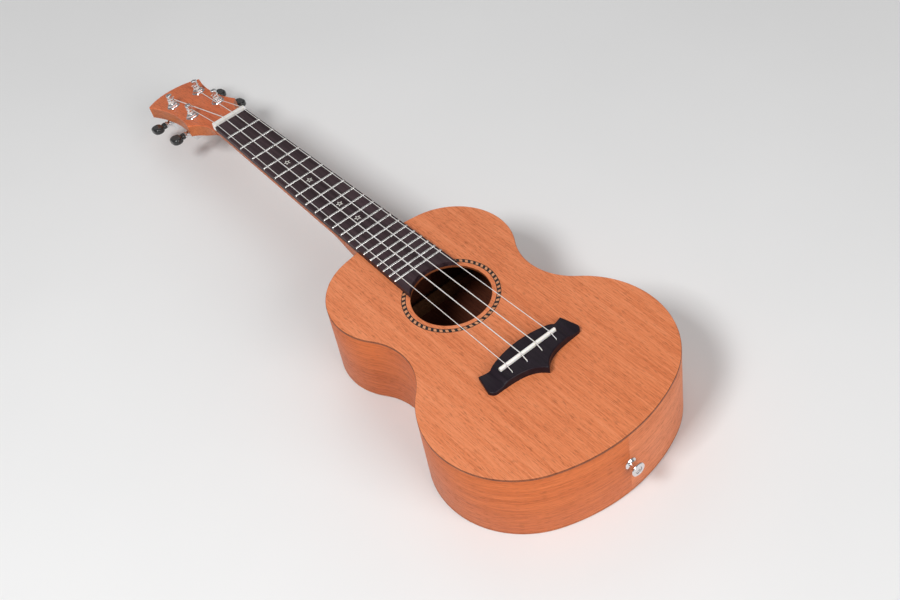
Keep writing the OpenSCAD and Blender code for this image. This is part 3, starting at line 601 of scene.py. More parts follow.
waist_x = (-quad_b + math.sqrt(quad_b**2 - 4 * quad_a * quad_c)) / (2 * quad_a)
waist_r = ((waist_x - lower_c.x) ** 2 + lower_k) * lower_g
waist_c = Vector((waist_x, waist_hw + waist_r))


def heading(start, end):
    return math.degrees(math.atan2(end.y - start.y, end.x - start.x))


def half_body(bm, inset):
    """Half of the body's outline on the bass side, from the neck joint to the tail, inset evenly."""
    before = len(bm.verts)
    first = bm.verts.new((shoulder_c.x + shoulder_r - inset, 0, 0))
    last = first
    upper_in = heading(shoulder_c, upper_c)
    lower_out = heading(tail_c, lower_c)
    for centre, start, end in (
        (shoulder_c, 0, upper_in),
        (upper_c, upper_in, heading(upper_c, waist_c)),
        (waist_c, heading(waist_c, upper_c), heading(waist_c, lower_c)),
        (lower_c, heading(lower_c, waist_c), lower_out),
        (tail_c, lower_out, 180),
    ):
        last = swing(bm, last, centre, end - start)
    last.co.y = 0
    bm.verts.ensure_lookup_table()
    for k in range(before, len(bm.verts)):
        bm.verts[k].co.x = min(bm.verts[k].co.x, joint_x - inset)
    return first, last


def body_plan():
    bm = bmesh.new()
    half_body(bm, 0)
    both_sides(bm)
    return bm


def disc_tool(x, y, radius, z0, z1, steps):
    return place(rod(radius, z0, z1, steps), Matrix.Translation((x, y, 0)))


def string_drills(z0, z1):
    drills = [disc_tool(string_hole_x, saddle_y(i), string_hole_r, z0, z1, 16) for i in range(4)]
    return gather(*drills)


def ring_of(inner, outer, z0, z1, steps=144):
    """A flat-sided ring round the sound hole's middle."""
    return lathe([(inner, z0), (outer, z0), (outer, z1), (inner, z1)], steps)


hole_place = Matrix.Translation((hole_x, 0, 0))
hole_steps = 144
hole_tool = lathe([
    (0, top_under - 2), (hole_r, top_under - 2), (hole_r, top_z - 0.5), (hole_r + 0.12, top_z - 0.15),
    (hole_r + 0.5, top_z), (hole_r + 0.5, top_z + 2), (0, top_z + 2),
], hole_steps)
channel_tool = ring_of(rosette_in, rosette_out, rosette_floor, top_z + 1)
soundboard = slab(body_plan(), top_under, top_z, rim=0.6, under=0.18)
soundboard = carve(
    soundboard, place(hole_tool, hole_place), place(channel_tool, hole_place), string_drills(60, 80),
)
panel = done(soundboard, "soundboard_panel", [top_wood, edge_wood_and_painted_shade], "top_wood", ["soundboard"])
# The faces that don't face up take the darker mahogany: the rims, the sound-hole wall, and the underside,
# where it is painted shade.
second_finish(panel, lambda face: face.normal.z < 0.8)

back = slab(body_plan(), back_lo.z, back_hi.z, rim=0.18, under=0.8)
panel = done(back, "back_panel", [back_wood, inner_wood_painted_shade], "side_wood", ["back_plate"])
# The back's inner face takes the inside mahogany with its painted shade.
second_finish(panel, lambda face: face.normal.z > 0.8)
rib_t = 2


def bent_rib(side):
    """One bent side, with its run along the outline kept for the grain."""
    bm = bmesh.new()
    run = bm.verts.layers.float.new("run")
    ends = []
    for inset in (0, rib_t):
        before = len(bm.verts)
        ends.append(half_body(bm, inset))
        bm.verts.ensure_lookup_table()
        far = 0
        for k in range(before, len(bm.verts)):
            if k > before:
                far += (bm.verts[k].co - bm.verts[k - 1].co).length
            bm.verts[k][run] = far * MM
    bm.edges.new((ends[0][0], ends[1][0]))
    bm.edges.new((ends[0][1], ends[1][1]))
    slab(bm, back_hi.z, top_under, rim=0.2, under=0.2, segments=2)
    return place(bm, Matrix.Diagonal((1, side, 1, 1)))


def looks_inward(face):
    middle = face.center / MM
    inward = Vector((waist_x - middle.x, -middle.y, 0)).normalized()
    return face.normal.dot(inward) > 0.3


# Each rib takes its own tone of painted shade or painted light.
for side, name, finish in ((1, "rib_bass", rib_wood_bass_painted_shade), (-1, "rib_treble", rib_wood_treble_painted_light)):
    rib = done(bent_rib(side), name + "_bent", [finish, inner_wood_painted_shade], "side_wood", [name])
    # The ribs' inner faces take the inside mahogany with its painted shade.
    second_finish(rib, looks_inward)

# ---------- Rosette ----------
line_w = rosette_out - rope_out
line_top = top_z - 0.02
rope_top = top_z - 0.01
lines = gather(*[ring_of(r, r + line_w, rosette_floor, line_top) for r in (rosette_in, rope_out)])
done(place(lines, hole_place), "rosette_black_lines", black_line, "black_line", ["rosette_lines"])

rope_pairs = 50
rope_lean = math.radians(1.5)
rope = ring_of(rope_in, rope_out, rosette_floor, rope_top, rope_pairs * 4)
for face in rope.faces:
    middle = face.calc_center_median()
    step = round(math.degrees(math.atan2(middle.y, middle.x)) / 360 * rope_pairs * 4 - 0.5)
    face.material_index = step // 2 % 2
for v in rope.verts:
    if v.co.xy.length > (rope_in + rope_out) / 2:
        v.co.xy = Matrix.Rotation(rope_lean, 2) @ v.co.xy
done(place(rope, hole_place), "rosette_rope_ring", [black_line, rope_pale], "rope_inlay", ["rosette_rope"])

# ---------- Neck ----------
neck_d0 = 14
neck_d1 = 17
heel_foot = 13
heel_run = 40
ring_count = 56
bolt_z = 38
insert_r = 4.5
insert_l = 14


def run_depth(x):
    return neck_d1 + (neck_d0 - neck_d1) * (x - joint_x) / (head_x - joint_x)


def neck_shape(x, depth, cut=False):
    """Where a ring of the neck lies: flat on top, nearly round below, squarer and narrower on the heel."""
    heel = max(0, (depth - neck_d1) / (top_z - neck_d1))
    power = 2 / (2.3 + 3.7 * heel)
    half = board_hw(min(x, scale_len))

    def shape(a):
        side = half * math.cos(a)
        z = top_z
        if a < 0:
            drop = depth * abs(math.sin(a)) ** power
            taper = 1 - 0.5 * (drop / top_z) ** 0.9 * min(1, heel * 3)
            side = half * math.copysign(abs(math.cos(a)) ** power, math.cos(a)) * taper
            z = top_z - drop
        lean = (z - head_z) * math.tan(head_tilt) if cut else 0
        return Vector((x + lean, side, z))

    return shape


neck = bmesh.new()
neck_stops = [(joint_x, top_z)]
for a in range(0, 91, 5):
    turn = math.radians(a)
    deep = top_z - (top_z - run_depth(joint_x + heel_run)) * math.sin(turn)
    neck_stops.append((joint_x + heel_run - (heel_run - heel_foot) * math.cos(turn), deep))
neck_stops += [(joint_x + run, run_depth(joint_x + run)) for run in (60, 100, 150, 200)]
neck_stops.append((scale_len - 6, run_depth(scale_len - 6)))
neck_rings = [ring_at(neck, ring_count, neck_shape(x, d)) for x, d in neck_stops]
neck_rings.append(ring_at(neck, ring_count, neck_shape(head_x, neck_d0, cut=True)))
loft(neck, neck_rings)
bolt_line = Matrix.Translation((0, 0, bolt_z)) @ Matrix.Rotation(math.radians(90), 4, "Y")
neck = carve(neck, place(rod(insert_r, joint_x - 1, joint_x + insert_l, 32), bolt_line))
done(neck, "neck_shaft", neck_wood, "neck_wood", ["neck"])

# ---------- Headstock ----------
nut_hw = nut_w / 2
corner_s = 40
corner_hw = 28.6
cheek_s = 12
cheek_hw = 17.6
pinch_s = 79
pinch_hw = 23.8
head_len = 126
end_hw = 31
end_crown = 11
square_by = 26
bow_from = 98


def cheek_arc(run, rise):
    return (run**2 + rise**2) / (2 * rise)


crown_r = cheek_arc(end_hw, end_crown)


def head_half_width(s):
    if s <= cheek_s:
        return nut_hw + (cheek_hw - nut_hw) * s / cheek_s
    if s <= corner_s:
        low, start, r = cheek_hw, cheek_s, cheek_arc(corner_s - cheek_s, corner_hw - cheek_hw)
    elif s <= pinch_s:
        low, start, r = pinch_hw, pinch_s, cheek_arc(pinch_s - corner_s, corner_hw - pinch_hw)
    else:
        low, start, r = pinch_hw, pinch_s, cheek_arc(head_len - pinch_s, end_hw - pinch_hw)
    return low + r - math.sqrt(r**2 - (s - start) ** 2)


def crown(y):
    return math.sqrt(crown_r**2 - min(abs(y), end_hw) ** 2) - crown_r + end_crown


def head_shape(s):
    """A ring of the headstock under its veneer: it starts as the neck's own section and turns square."""
    change = min(1, s / square_by)
    ease = change * change * (3 - 2 * change)
    power = 2 / 2.3
    deep = (neck_d0 - 2) * (1 - ease) + head_t * ease
    half = head_half_width(s)
    bow = max(0, (s - bow_from) / (head_len - bow_from))

    def shape(a):
        side = half * math.cos(a)
        n = -veneer_t
        if a < 0:
            across = math.cos(a)
            down = abs(math.sin(a))
            square = max(abs(across), down)
            round_side = math.copysign(abs(across) ** power, across)
            side = half * (round_side + (across / square - round_side) * ease)
            round_drop = down**power
            n = -veneer_t - (deep - veneer_t) * (round_drop + (down / square - round_drop) * ease)
        return head_frame @ Vector((s + bow * bow * crown(side), side, n))

    return shape


head = bmesh.new()
head_stops = [*range(0, 37, 3), 38, 39.4, 40, 40.6, 42, 45, 49, 54, 60, 66, 72, 79]
head_stops += [86, 92, 98, 104, 110, 115, 120, 123, 125, 126]
loft(head, [ring_at(head, ring_count, head_shape(s)) for s in head_stops])
end_caps = [face for face in head.faces if len(face.verts) > 4]
bmesh.ops.triangulate(head, faces=end_caps, ngon_method="BEAUTY")
head_plane = head_frame.to_3x3() @ UP


bushing_hole_r = 4.45


def head_drills(z0):
    return gather(*[place(rod(bushing_hole_r, z0, 4, 32), post_frame(i)) for i in range(4)])


head = carve(head, head_drills(-head_t - 4))
done(head, "headstock_blade", blade_wood, "neck_wood", ["headstock"], flat=head_plane)

veneer = bmesh.new()
last = reach(veneer, veneer.verts.new((0, 0, 0)), (0, nut_hw), (cheek_s, cheek_hw))
for level_s, level_hw, far in (
    (cheek_s, cheek_hw, corner_s), (pinch_s, pinch_hw, corner_s), (pinch_s, pinch_hw, head_len),
):
    run = abs(far - level_s)
    r = cheek_arc(run, head_half_width(far) - level_hw)
    last = swing(veneer, last, (level_s, level_hw + r), math.degrees(math.asin(run / r)))
turn = math.degrees(math.asin(end_hw / crown_r))
last = swing(veneer, last, (head_len + end_crown - crown_r, 0), -turn)
last.co.y = 0
both_sides(veneer)
open_middle(veneer)
slab(veneer, -veneer_t, 0, rim=0.3, segments=2)
veneer = carve(place(veneer, head_frame), head_drills(-4))
done(veneer, "headstock_face", head_wood, "head_veneer", ["headstock_veneer"], flat=head_plane)

# ---------- Fingerboard, stars and frets ----------
board = bmesh.new()
end_y = board_hw(board_lo.x + 6)
sweep = math.degrees(math.asin(end_y / hole_r))
last = reach(
    board, board.verts.new((scale_len, 0, 0)), (scale_len, board_hw(scale_len)),
    (hole_x + math.sqrt(hole_r**2 - end_y**2), end_y),
)
last = swing(board, last, (hole_x, 0), -sweep)
last.co.y = 0
both_sides(board)
open_middle(board)
slab(board, top_z, board_z, rim=0.45)
fret_count = 20
frets_at = [fret_x(n) for n in range(1, fret_count + 1)]
tang_hw = 0.25
tang_deep = 2
star_r = 3.5
star_in = 2.0
star_notch = 0.42
star_room = 0.02
star_floor = board_z - 0.8


def tang(x, half, top):
    return block((x - tang_hw, -half, board_z - tang_deep), (x + tang_hw, half, top))


def star(outer, z1, x, floor=star_floor):
    """A five-pointed star, drawn round its own middle."""
    bm = bmesh.new()
    points = []
    for k in range(10):
        r = outer if k % 2 == 0 else outer * star_notch
        points.append((x + r * math.cos(math.pi * k / 5), r * math.sin(math.pi * k / 5), 0))
    chain(bm, points, closed=True)
    return slab(bm, floor, z1)


star_places = [(fret_x(n) + fret_x(n - 1)) / 2 for n in (5, 7, 10, 12)]
slots = gather(*[tang(x, 40, board_z + 2) for x in frets_at])
pockets = gather(*[star(star_r, board_z + 1, x) for x in star_places])
board = carve(board, slots, pockets)
board = gather(board, *[star(star_in, board_z, x) for x in star_places])
done(board, "fingerboard_plank", rosewood, "rosewood", ["fingerboard"])

hollow = []
for x in star_places:
    core = star(star_in + star_room, board_z + 2, x, floor=board_z - 2)
    hollow.append(carve(star(star_r - star_room, board_z, x), core))
done(gather(*hollow), "star_inlay_set", pearl, "star_inlay", ["star_inlays"])


half_turn = [math.radians(a) for a in range(0, 181, 15)]


def fret(x):
    """A domed crown with sloped, rounded ends, on its tang."""
    half = board_hw(x)
    bm = bmesh.new()
    points = [(x + math.cos(a), -half, board_z + math.sin(a)) for a in half_turn]
    chain(bm, points, closed=True)
    bmesh.ops.contextual_create(bm, geom=bm.edges[:])
    for run in (0.5, 0.35, 2 * half - 1.7, 0.35, 0.5):
        across = [f for f in bm.faces if abs(abs(f.normal.y) - 1) < NEAR]
        front = max(across, key=lambda f: f.calc_center_median().y)
        pull(bm, [front], (0, run, 0))
    ends = [0.55, 0.88, 1.0]
    levels = sorted({round(v.co.y, 3) for v in bm.verts})
    for v in bm.verts:
        k = levels.index(round(v.co.y, 3))
        low = ends[min(k, len(levels) - 1 - k)]
        v.co.z = board_z + (v.co.z - board_z) * low
    return gather(bm, tang(x, half - 0.05, board_z + 0.2))


fret_set = gather(*[fret(x) for x in frets_at])
done(fret_set, "fret_set", fret_metal, "fret_metal", ["frets"], crease=50)

# ---------- Nut and saddle ----------
def level_in(edge, axis):
    """Whether an edge keeps one place along an axis."""
    one, two = edge.verts
    return abs(one.co[axis] - two.co[axis]) < NEAR


nut_t = 5
nut_fall = 1.0
nut_shoulder = 5.5
profile = [(-nut_hw, top_z), (nut_hw, top_z), (nut_hw, nut_hi.z)]
for i in range(4):
    r = string_r[i] + 2 * string_room
    y = nut_y(i)
    turns = [-k * math.pi / 6 for k in range(7)]
    curve = [(y + r * math.cos(a), slot_floor + r + r * math.sin(a)) for a in turns]
    profile += [(y + r, nut_hi.z)] + curve + [(y - r, nut_hi.z)]
profile.append((-nut_hw, nut_hi.z))
nut = bar([(nut_lo.x, y, z) for y, z in profile], (nut_t, 0, 0))
for v in nut.verts:
    if v.co.z > nut_hi.z - NEAR and v.co.x > nut_lo.x + 1:
        v.co.z -= nut_fall
high = [e for e in nut.edges if all(v.co.z > top_z + nut_shoulder for v in e.verts)]
rims = [e for e in high if level_in(e, 0) and level_in(e, 2) and e.calc_length() > 2]
rims += [e for e in high if all(abs(abs(v.co.y) - nut_hw) < NEAR for v in e.verts)]
round_edges(nut, rims, 0.4, 3)
done(nut, "nut_bone", bone, "bone", ["nut"])

saddle_hw = saddle_hi.y
saddle_half_t = (saddle_hi.x - saddle_lo.x) / 2
crown_z = saddle_z - saddle_half_t


def over_saddle(r, a):
    """A place on an arc round the saddle's crown: how far along and how high."""
    return saddle_x + r * math.cos(a), crown_z + r * math.sin(a)


foot = saddle_lo.z
points = [(saddle_x - saddle_half_t, foot), (saddle_x + saddle_half_t, foot)]
points += [over_saddle(saddle_half_t, a) for a in half_turn]
saddle = bar([(x, -saddle_hw, z) for x, z in points], (0, 2 * saddle_hw, 0))
ends = [e for e in saddle.edges if all(v.co.z > foot + 1 for v in e.verts) and level_in(e, 1)]
round_edges(saddle, ends, 0.7, 4)
done(saddle, "saddle_bone", bone, "bone", ["saddle"], crease=40)

# ---------- Bridge ----------
bridge = bmesh.new()
saddle_slot_hw = 1.55
wing_from = 28.5
wing_run = 9
wing_drop = 3
front_bulge = 11
front_dip = 4.5
front_dip_y = 33
front_r = (front_dip_y**2 + (front_bulge - front_dip) ** 2) / (2 * (front_bulge - front_dip))
wing_rear = -14
wing_end = bridge_hi.y
last = bridge.verts.new((front_bulge, 0, 0))
last = swing(bridge, last, (front_bulge - front_r, 0), math.degrees(math.asin(front_dip_y / front_r)), 1.5)
last = reach(bridge, last, (7.5, 42.5), (wing_rear + 5, wing_end), (wing_rear + 4.1, wing_end - 0.4))
last = swing(bridge, last, (wing_rear + 5, wing_end - 5.5), 80, 12)
for y in (38, 34, 30, 26, 23, 20, 17.5, 15, 13, 11, 9.5, 8, 6.7, 5.5, 4.4, 3.5, 2.6, 1.8, 0.9, 0):
    last = reach(bridge, last, (wing_rear - 13.5 * math.exp(-y / 9.5), y))
both_sides(bridge)
slab(bridge, top_z, bridge_hi.z)
wing_steps = [26, 28, 29, 30, 31, 32, 33, 34, 35, 36, 37, 38, 40]
for y in [-y for y in reversed(wing_steps)] + wing_steps:
    bmesh.ops.bisect_plane(
        bridge, geom=bridge.verts[:] + bridge.edges[:] + bridge.faces[:], dist=FINE,
        plane_co=(0, y, 0), plane_no=(0, 1, 0),
    )
for v in bridge.verts:
    if v.co.z > top_z + 1:
        t = min(1, max(0, (abs(v.co.y) - wing_from) / wing_run))
        v.co.z -= wing_drop * t * t * (3 - 2 * t) + max(0, abs(v.co.y) - wing_from - wing_run) * 0.08
bridge.normal_update()
rims = []
for e in bridge.edges:
    tilts = [f.normal.z for f in e.link_faces]
    if len(tilts) == 2 and max(tilts) > 0.5 and abs(min(tilts)) < 0.3:
        rims.append(e)
round_edges(bridge, rims, 1.0, 4)
slot_hw = saddle_hw + 0.05
slot = block(
    (saddle_x - saddle_slot_hw, -slot_hw, foot), (saddle_x + saddle_slot_hw, slot_hw, bridge_hi.z + 3),
)
bridge = carve(bridge, slot, string_drills(60, 90))
done(bridge, "bridge_carved", black_wood, "black_wood", ["bridge"], crease=28)

# ---------- Strings, knots and winds ----------
post_waist_r = 2.5
wrap_room = 0.02
wrap_base = 3.8
string_gap = 0.1
cross_hole_n = 9.2


def wrap_r(i):
    return post_waist_r + string_r[i] + wrap_room


def lead_level(i):
    return wrap_base + string_r[i] * 4.8 + 2 * string_r[i] + string_gap


def lead_end(i):
    """Where a string meets its post, in headstock places: how far along and how far across."""
    start = -(slot_floor + string_r[i] - head_z) * math.sin(head_tilt)
    across = post_side[i] * post_y - nut_y(i)
    away = math.hypot(post_s[i] - start, across)
    round_r = wrap_r(i)
    course = math.atan2(across, post_s[i] - start) - post_side[i] * math.asin(round_r / away)
    length = math.sqrt(away**2 - round_r**2)
    return start + length * math.cos(course), nut_y(i) + length * math.sin(course)


def string_path(i):
    r = string_r[i]
    y0 = saddle_y(i)
    y1 = nut_y(i)
    path = [(string_hole_x, y0, plate_under), (string_hole_x, y0, bridge_hi.z - 0.4)]
    path += [(string_hole_x + 0.12, y0, bridge_hi.z + 0.05), (string_hole_x + 0.5, y0, bridge_hi.z + 0.42)]
    for a in (118, 112, 106, 100, 95, 89.6):
        x, z = over_saddle(saddle_half_t + r + string_room, math.radians(a))
        path.append((x, y0, z))
    high = saddle_z + r + string_room
    low = slot_floor + r + string_room
    for k in range(1, 24):
        t = k / 24
        x = saddle_x + (scale_len + 0.3 - saddle_x) * t
        path.append((x, y0 + (y1 - y0) * t, high + (low - high) * t))
    for x, drop in ((0.3, 0), (2.5, 0), (4.2, 0), (4.6, 0.03), (5.0, 0.1)):
        path.append((scale_len + x, y1, low - drop))
    along, across = lead_end(i)
    end = head_frame @ Vector((along, across, lead_level(i)))
    start = Vector(path[-1])
    path += [start.lerp(end, k / 8) for k in range(1, 9)]
    return path


def wind_path(i):
    """Round the post from the level where the string arrives, and down for three turns."""
    r = string_r[i]
    along, across = lead_end(i)
    where = Vector((along - post_s[i], (across - post_side[i] * post_y) * post_side[i]))
    begin = math.atan2(where.y, where.x)
    round_r = wrap_r(i)
    path = []
    level = lead_level(i)
    for k in range(85):
        turn = begin + k * math.tau / 24
        n = level - (level - wrap_base - r) * min(1, k / 78)
        path.append(Vector((round_r * math.cos(turn), round_r * math.sin(turn), n)))
    return path


def tail_path(i):
    """The string's end, through the cross hole and bent down over the winds."""
    r = string_r[i]
    hole_n = cross_hole_n
    out = post_waist_r + r + 0.1
    path = [(0, -out - 1.4, hole_n - 0.15), (0, -out, hole_n), (0, out - 0.5, hole_n)]
    fall = hole_n - lead_level(i) - 2 * r
    for k in range(13):
        turn = math.radians(90) + k * math.radians(17)
        path.append((out * math.cos(turn), out * math.sin(turn), hole_n - fall * (k / 12) ** 1.3))
    return path


for i, name in enumerate(POST_NAMES):
    line = cord_line(string_path(i), string_r[i])
    done(line, "string_" + name + "_line", nylon, "string", ["string_" + name], crease=60)
    winds = gather(cord_line(wind_path(i), string_r[i]), cord_line(tail_path(i), string_r[i]))
    done(
        place(winds, post_frame(i)), "string_winds_" + name, nylon, "string", ["string_wrap_" + name],
        body="post_" + name, crease=60,
    )


knot_r = 1.25


def knot(i):
    """A figure-eight knot drawn up against the bridge plate."""
    path = []
    for k in range(49):
        t = k / 48 * math.tau
        x = knot_r * math.cos(2 * t) * (1 - 0.2 * math.cos(t))
        path.append((x, knot_r * math.sin(2 * t), plate_under - knot_r + 0.7 * math.sin(3 * t)))
    tied = cord_line(path, string_r[i] + 0.12, 3)
    return place(tied, Matrix.Translation((string_hole_x, saddle_y(i), 0)))


done(gather(*[knot(i) for i in range(4)]), "string_knot_set", nylon, "string", ["string_knots"], crease=60)

# ---------- Machine heads ----------
house_x0 = -7.2
house_x1 = 12.0
house_hw = 8.5
house_top = -head_t - 1.0
house_end = house_top - 8.5
worm_x = 7.6
worm_n = house_top - 3.8
collar_y = 13.4
ear_y = -11
ear_hw = 2.6
worm_line = Matrix.Translation((worm_x, 0, worm_n)) @ Matrix.Rotation(math.radians(-90), 4, "X")
post_bore_r = 3.06
shaft_bore_r = 1.56
cross_hw = 0.22


def cross_recess(radius, z, depth=0.7):
    """The cross cut in a screw's head."""
    sides = ((radius, cross_hw), (cross_hw, radius))
    return [block((-x, -y, z - depth), (x, y, z + 1)) for x, y in sides]


def four(make):
    return gather(*[place(make(), post_frame(i)) for i in range(4)])


def bushing():
    """Hexagonal bushing with a rounded crown and its threaded barrel."""
    hexagon = bmesh.new()
    bmesh.ops.create_circle(hexagon, segments=6, radius=5.5, cap_ends=False)
    slab(hexagon, 0.8, 3.1, rim=0.35, segments=3)
    crown_cap = lathe([(0, 2.9), (4.6, 2.9), (4.6, 3.2), (4.2, 3.55), (3.3, 3.7), (0, 3.7)], 40)
    barrel = rod(4.4, -head_t, 0.85, 40)
    bore = rod(post_bore_r, -head_t - 1, 6, 40)
    hexagon = carve(hexagon, rod(post_bore_r, -2, 6, 40))
    crown_cap = carve(crown_cap, rod(post_bore_r + 0.02, 1, 6, 40))
    return gather(hexagon, crown_cap, carve(barrel, bore))


def washer():
    inner = bushing_hole_r
    return lathe([(inner, 0), (6.6, 0), (6.6, 0.35), (6.35, 0.7), (5.9, 0.8), (inner, 0.8)], 56)


def base_plate():
    bm = bmesh.new()
    last = bm.verts.new((house_x1, 0, 0))
    last = reach(
        bm, last, (house_x1, house_hw), (house_x0, house_hw), (house_x0, -house_hw),
        (-ear_hw, -house_hw), (-ear_hw, ear_y),
    )
    last = swing(bm, last, (0, ear_y), 180, 12)
    last = reach(bm, last, (ear_hw, -house_hw), (house_x1, -house_hw))
    bm.verts.ensure_lookup_table()
    bm.edges.new((last, bm.verts[0]))
    slab(bm, house_top, house_top + 1, rim=0.0, under=0.25, segments=2)
    low, high = house_top - 1, house_top + 3
    drills = gather(rod(post_bore_r, low, high, 32), disc_tool(0, ear_y, 1.0, low, high, 20))
    return carve(bm, drills)


def case_block(wall, low, high, rim=0.0, segments=2):
    """A block inside the gear case's walls."""
    x0, x1, y = house_x0 + wall, house_x1 - wall, house_hw - wall
    return block((x0, -y, low), (x1, y, high), rim, segments)


def shaft_drill():
    return place(rod(shaft_bore_r, -house_hw + 0.3, 20, 24), worm_line)


def housing():
    """Sealed gear case with soft corners, and the collar that carries the button's shaft."""
    case = case_block(0.2, house_end, house_top + 2, 1.5, 5)
    case = carve(case, block((-30, -30, house_top), (30, 30, house_top + 9)))
    inner = case_block(1.2, house_end + 1.2, house_top + 3)
    collar = lathe([
        (0, house_hw - 1.0), (3.0, house_hw - 1.0), (3.0, 10.2), (2.5, 10.5), (2.5, 11.4), (3.3, 11.7),
        (3.3, 13.0), (3.0, collar_y), (0, collar_y),
    ], 40)
    return gather(carve(case, inner, shaft_drill()), carve(place(collar, worm_line), shaft_drill()))


def thread(count, z, pitch, root, crest, rise):
    """The zigzag of a thread down a turned shank."""
    turns = []
    for k in range(count):
        turns += [(root, z + k * pitch), (crest, z + k * pitch + rise)]
    return turns


def ear_screw():
    """Pan-head screw with a cross recess, seated on the back plate's ear."""
    top = house_top
    face = top - 1.4
    pan = lathe([
        (0, top), (1.9, top), (1.9, top - 0.5), (1.6, top - 1.05), (0.9, top - 1.36), (0, face),
    ], 28)
    flip = Matrix.Translation((0, 0, 2 * face)) @ Matrix.Diagonal((1, 1, -1, 1))
    pan = carve(pan, *[place(arm, flip) for arm in cross_recess(1.15, face)])
    turns = thread(9, top + 0.6, 0.75, 0.62, 0.88, 0.3)
    shank = lathe([(0, top - 0.05), (0.62, top - 0.05)] + turns + [(0.45, top + 7.6), (0, top + 8)], 20)
    return place(gather(pan, shank), Matrix.Translation((0, ear_y, 0)))


def string_post():
    """A turned post with a waist for the winds and a cross hole for the string's end."""
    foot = worm_n - 2.2
    post = lathe([
        (0, foot), (2.8, foot), (3, foot + 0.2), (3, 3.3), (2.9, 3.42), (2.6, 3.55), (2.5, 3.7),
        (2.5, 10.1), (2.6, 10.5), (2.88, 11.0), (3, 11.25), (3, 13.05), (2.93, 13.3), (2.75, 13.48),
        (2.45, 13.58), (1.4, 13.6), (0, 13.6),
    ], 56)
    across = Matrix.Translation((0, 0, cross_hole_n)) @ Matrix.Rotation(math.radians(90), 4, "X")
    return carve(post, place(rod(0.8, -6, 6, 20), across))


def button():
    """A moulded button: a short round neck and an oval blade with soft rims."""
    start = collar_y + 0.4
    stem = lathe([
        (0, start), (3.1, start), (3.3, start + 0.25), (3.3, start + 2.4), (3.05, start + 3.2),
        (2.6, start + 4.5), (0, start + 4.5),
    ], 36)
    blade = bmesh.new()
    last = reach(blade, blade.verts.new((0, 3.4, 0)), (-2.0, 3.4))
    last = swing(blade, last, (-2.0, 9.2), -180, 10)
    last = reach(blade, last, (0, 15.0))
    both_sides(blade, "X")
    slab(blade, -3.25, 3.25, rim=2.2, under=2.2, segments=6)
    place(blade, Matrix.Translation((worm_x, start, worm_n)))
    return gather(place(stem, worm_line), blade)


for make, name, node in (
    (bushing, "tuner_hex_bushings", "tuner_bushings"),
    (washer, "tuner_dished_washers", "tuner_washers"),
    (base_plate, "tuner_back_plates", "tuner_base_plates"),
    (housing, "tuner_gear_cases", "tuner_housings"),
    (ear_screw, "tuner_ear_screws", "tuner_screws"),
):
    done(four(make), name, chrome, "chrome", [node], flat=head_plane)
for i, name in enumerate(POST_NAMES):
    done(
        place(string_post(), post_frame(i)), "post_" + name + "_turned", chrome, "chrome",
        ["string_post_" + name], body="post_" + name, flat=head_plane,
    )
    done(
        place(button(), post_frame(i)), "button_" + name + "_moulded", button_black, "button",
        ["tuner_button_" + name], body="knob_" + name, flat=head_plane,
    )

# ---------- Strap button ----------
strap_z = 35
seat = 7.7
tail_way = Vector((1, 0, 0))
tail_line = Matrix.Translation((tail_x, 0, strap_z)) @ Matrix.Rotation(math.radians(-90), 4, "Y")
peg = lathe([
    (0, 0), (5.4, 0), (5.4, 0.5), (5.1, 0.9), (4.3, 1.3), (3.8, 1.9), (3.6, 2.8), (3.6, 5.4), (3.75, 6.0),
    (4.2, 6.4), (5.4, 6.75), (6.05, 7.1), (6.2, 7.6), (6.2, 8.3), (6.0, 8.75), (5.5, 9.05), (4.8, 9.2),
    (3.3, 9.2), (3.1, 9.1), (3.1, seat), (0, seat),
], 64)
peg = carve(peg, rod(1.6, -1, 10, 24))
done(place(peg, tail_line), "strap_button_turned", chrome, "chrome", ["strap_button"], flat=tail_way)
screw = lathe([(0, seat), (3.0, seat), (3.0, 8.2), (2.7, 8.8), (1.9, 9.2), (0, 9.3)], 36)
screw = carve(screw, *cross_recess(1.8, 9.3, 0.9))
turns = thread(9, -12, 1.3, 1.05, 1.45, 0.5)
shank = lathe([(0, -13), (0.5, -12.6)] + turns + [(1.3, 0.2), (1.3, 7.75), (0, 7.75)], 28)
done(
    place(gather(screw, shank), tail_line), "strap_button_cross_screw", chrome, "chrome",
    ["strap_button_screw"], flat=tail_way,
)

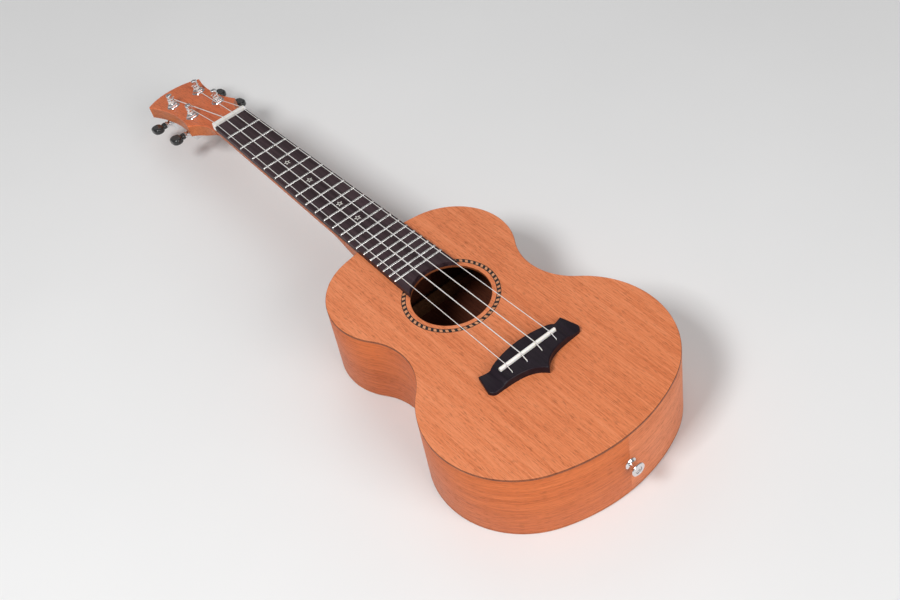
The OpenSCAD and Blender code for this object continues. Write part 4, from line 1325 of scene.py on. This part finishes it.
# ---------- Inside pieces that keep their own shape ----------
# The inside pieces take the inside woods, painted dark as painted shade.
inside = [
    (inner_wood_painted_shade, ["neck_block", "tail_block", "top_linings", "back_linings", "bridge_plate"]),
    (spruce_painted_shade, ["top_bars", "fan_braces", "back_bars"]),
    (steel, ["neck_bolt", "neck_bolt_washer"] + ["worm_shaft_" + name for name in POST_NAMES]),
    (brass, ["neck_insert"] + ["worm_wheel_" + name for name in POST_NAMES]),
]
for finish, names in inside:
    for name in names:
        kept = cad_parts[name]
        kept.data.materials.clear()
        kept.data.materials.append(finish)

# ---------- Floor, light and camera ----------
floor_bm = bmesh.new()
bmesh.ops.create_grid(floor_bm, x_segments=1, y_segments=1, size=6)
floor = to_object(floor_bm, "floor")
floor.data.transform(Matrix.Translation((0, 0, -0.0003)))
paper = Bench("pale_floor")
grain = paper.noise(paper.object, scale=3, detail=3)
shades = [(0.3, (0.83,)), (0.7, (0.86,))]
paper.join(paper.ramp(grain, shades), paper.shader.inputs["Base Color"])
paper.set(Roughness=0.8)
floor.data.materials.append(paper.finish)

sky = bpy.data.worlds.new("soft_room")
bpy.context.scene.world = sky
sky.use_nodes = True
room = sky.node_tree.nodes["Background"].inputs
room["Color"].default_value = (1, 1, 1, 1)
room["Strength"].default_value = 0.25
bpy.context.scene.view_settings.view_transform = "Standard"

middle = Vector((0.16, 0, 0.05))
lamps = [
    ("key", (-0.15, 1.3, 1.7), 0.6, 27),
    ("fill", (-1.75, -0.15, 1.0), 1.3, 21),
    ("back", (1.5, -0.6, 1.5), 1.2, 3),
]
for name, where, size, power in lamps:
    lamp = bpy.data.lights.new(name, "AREA")
    lamp.size = size
    lamp.energy = power
    holder = bpy.data.objects.new(name, lamp)
    holder.location = where
    holder.rotation_euler = (middle - Vector(where)).to_track_quat("-Z", "Y").to_euler()
    bpy.context.scene.collection.objects.link(holder)

camera = bpy.data.objects.new("camera", bpy.data.cameras.new("camera"))
camera.data.lens = 53.27
camera.data.sensor_width = 36
camera.data.clip_start = 0.01
bpy.context.scene.collection.objects.link(camera)
bpy.context.scene.camera = camera
eye = Vector((-0.557477, 0.39259, 0.850188))
aim = Vector((0.105694, -0.005651, 0.05))
facing = (aim - eye).to_track_quat("-Z", "Y").to_matrix().to_4x4()
camera.matrix_world = Matrix.Translation(eye) @ facing @ Matrix.Rotation(math.radians(-11.716), 4, "Z")

bpy.context.view_layer.update()
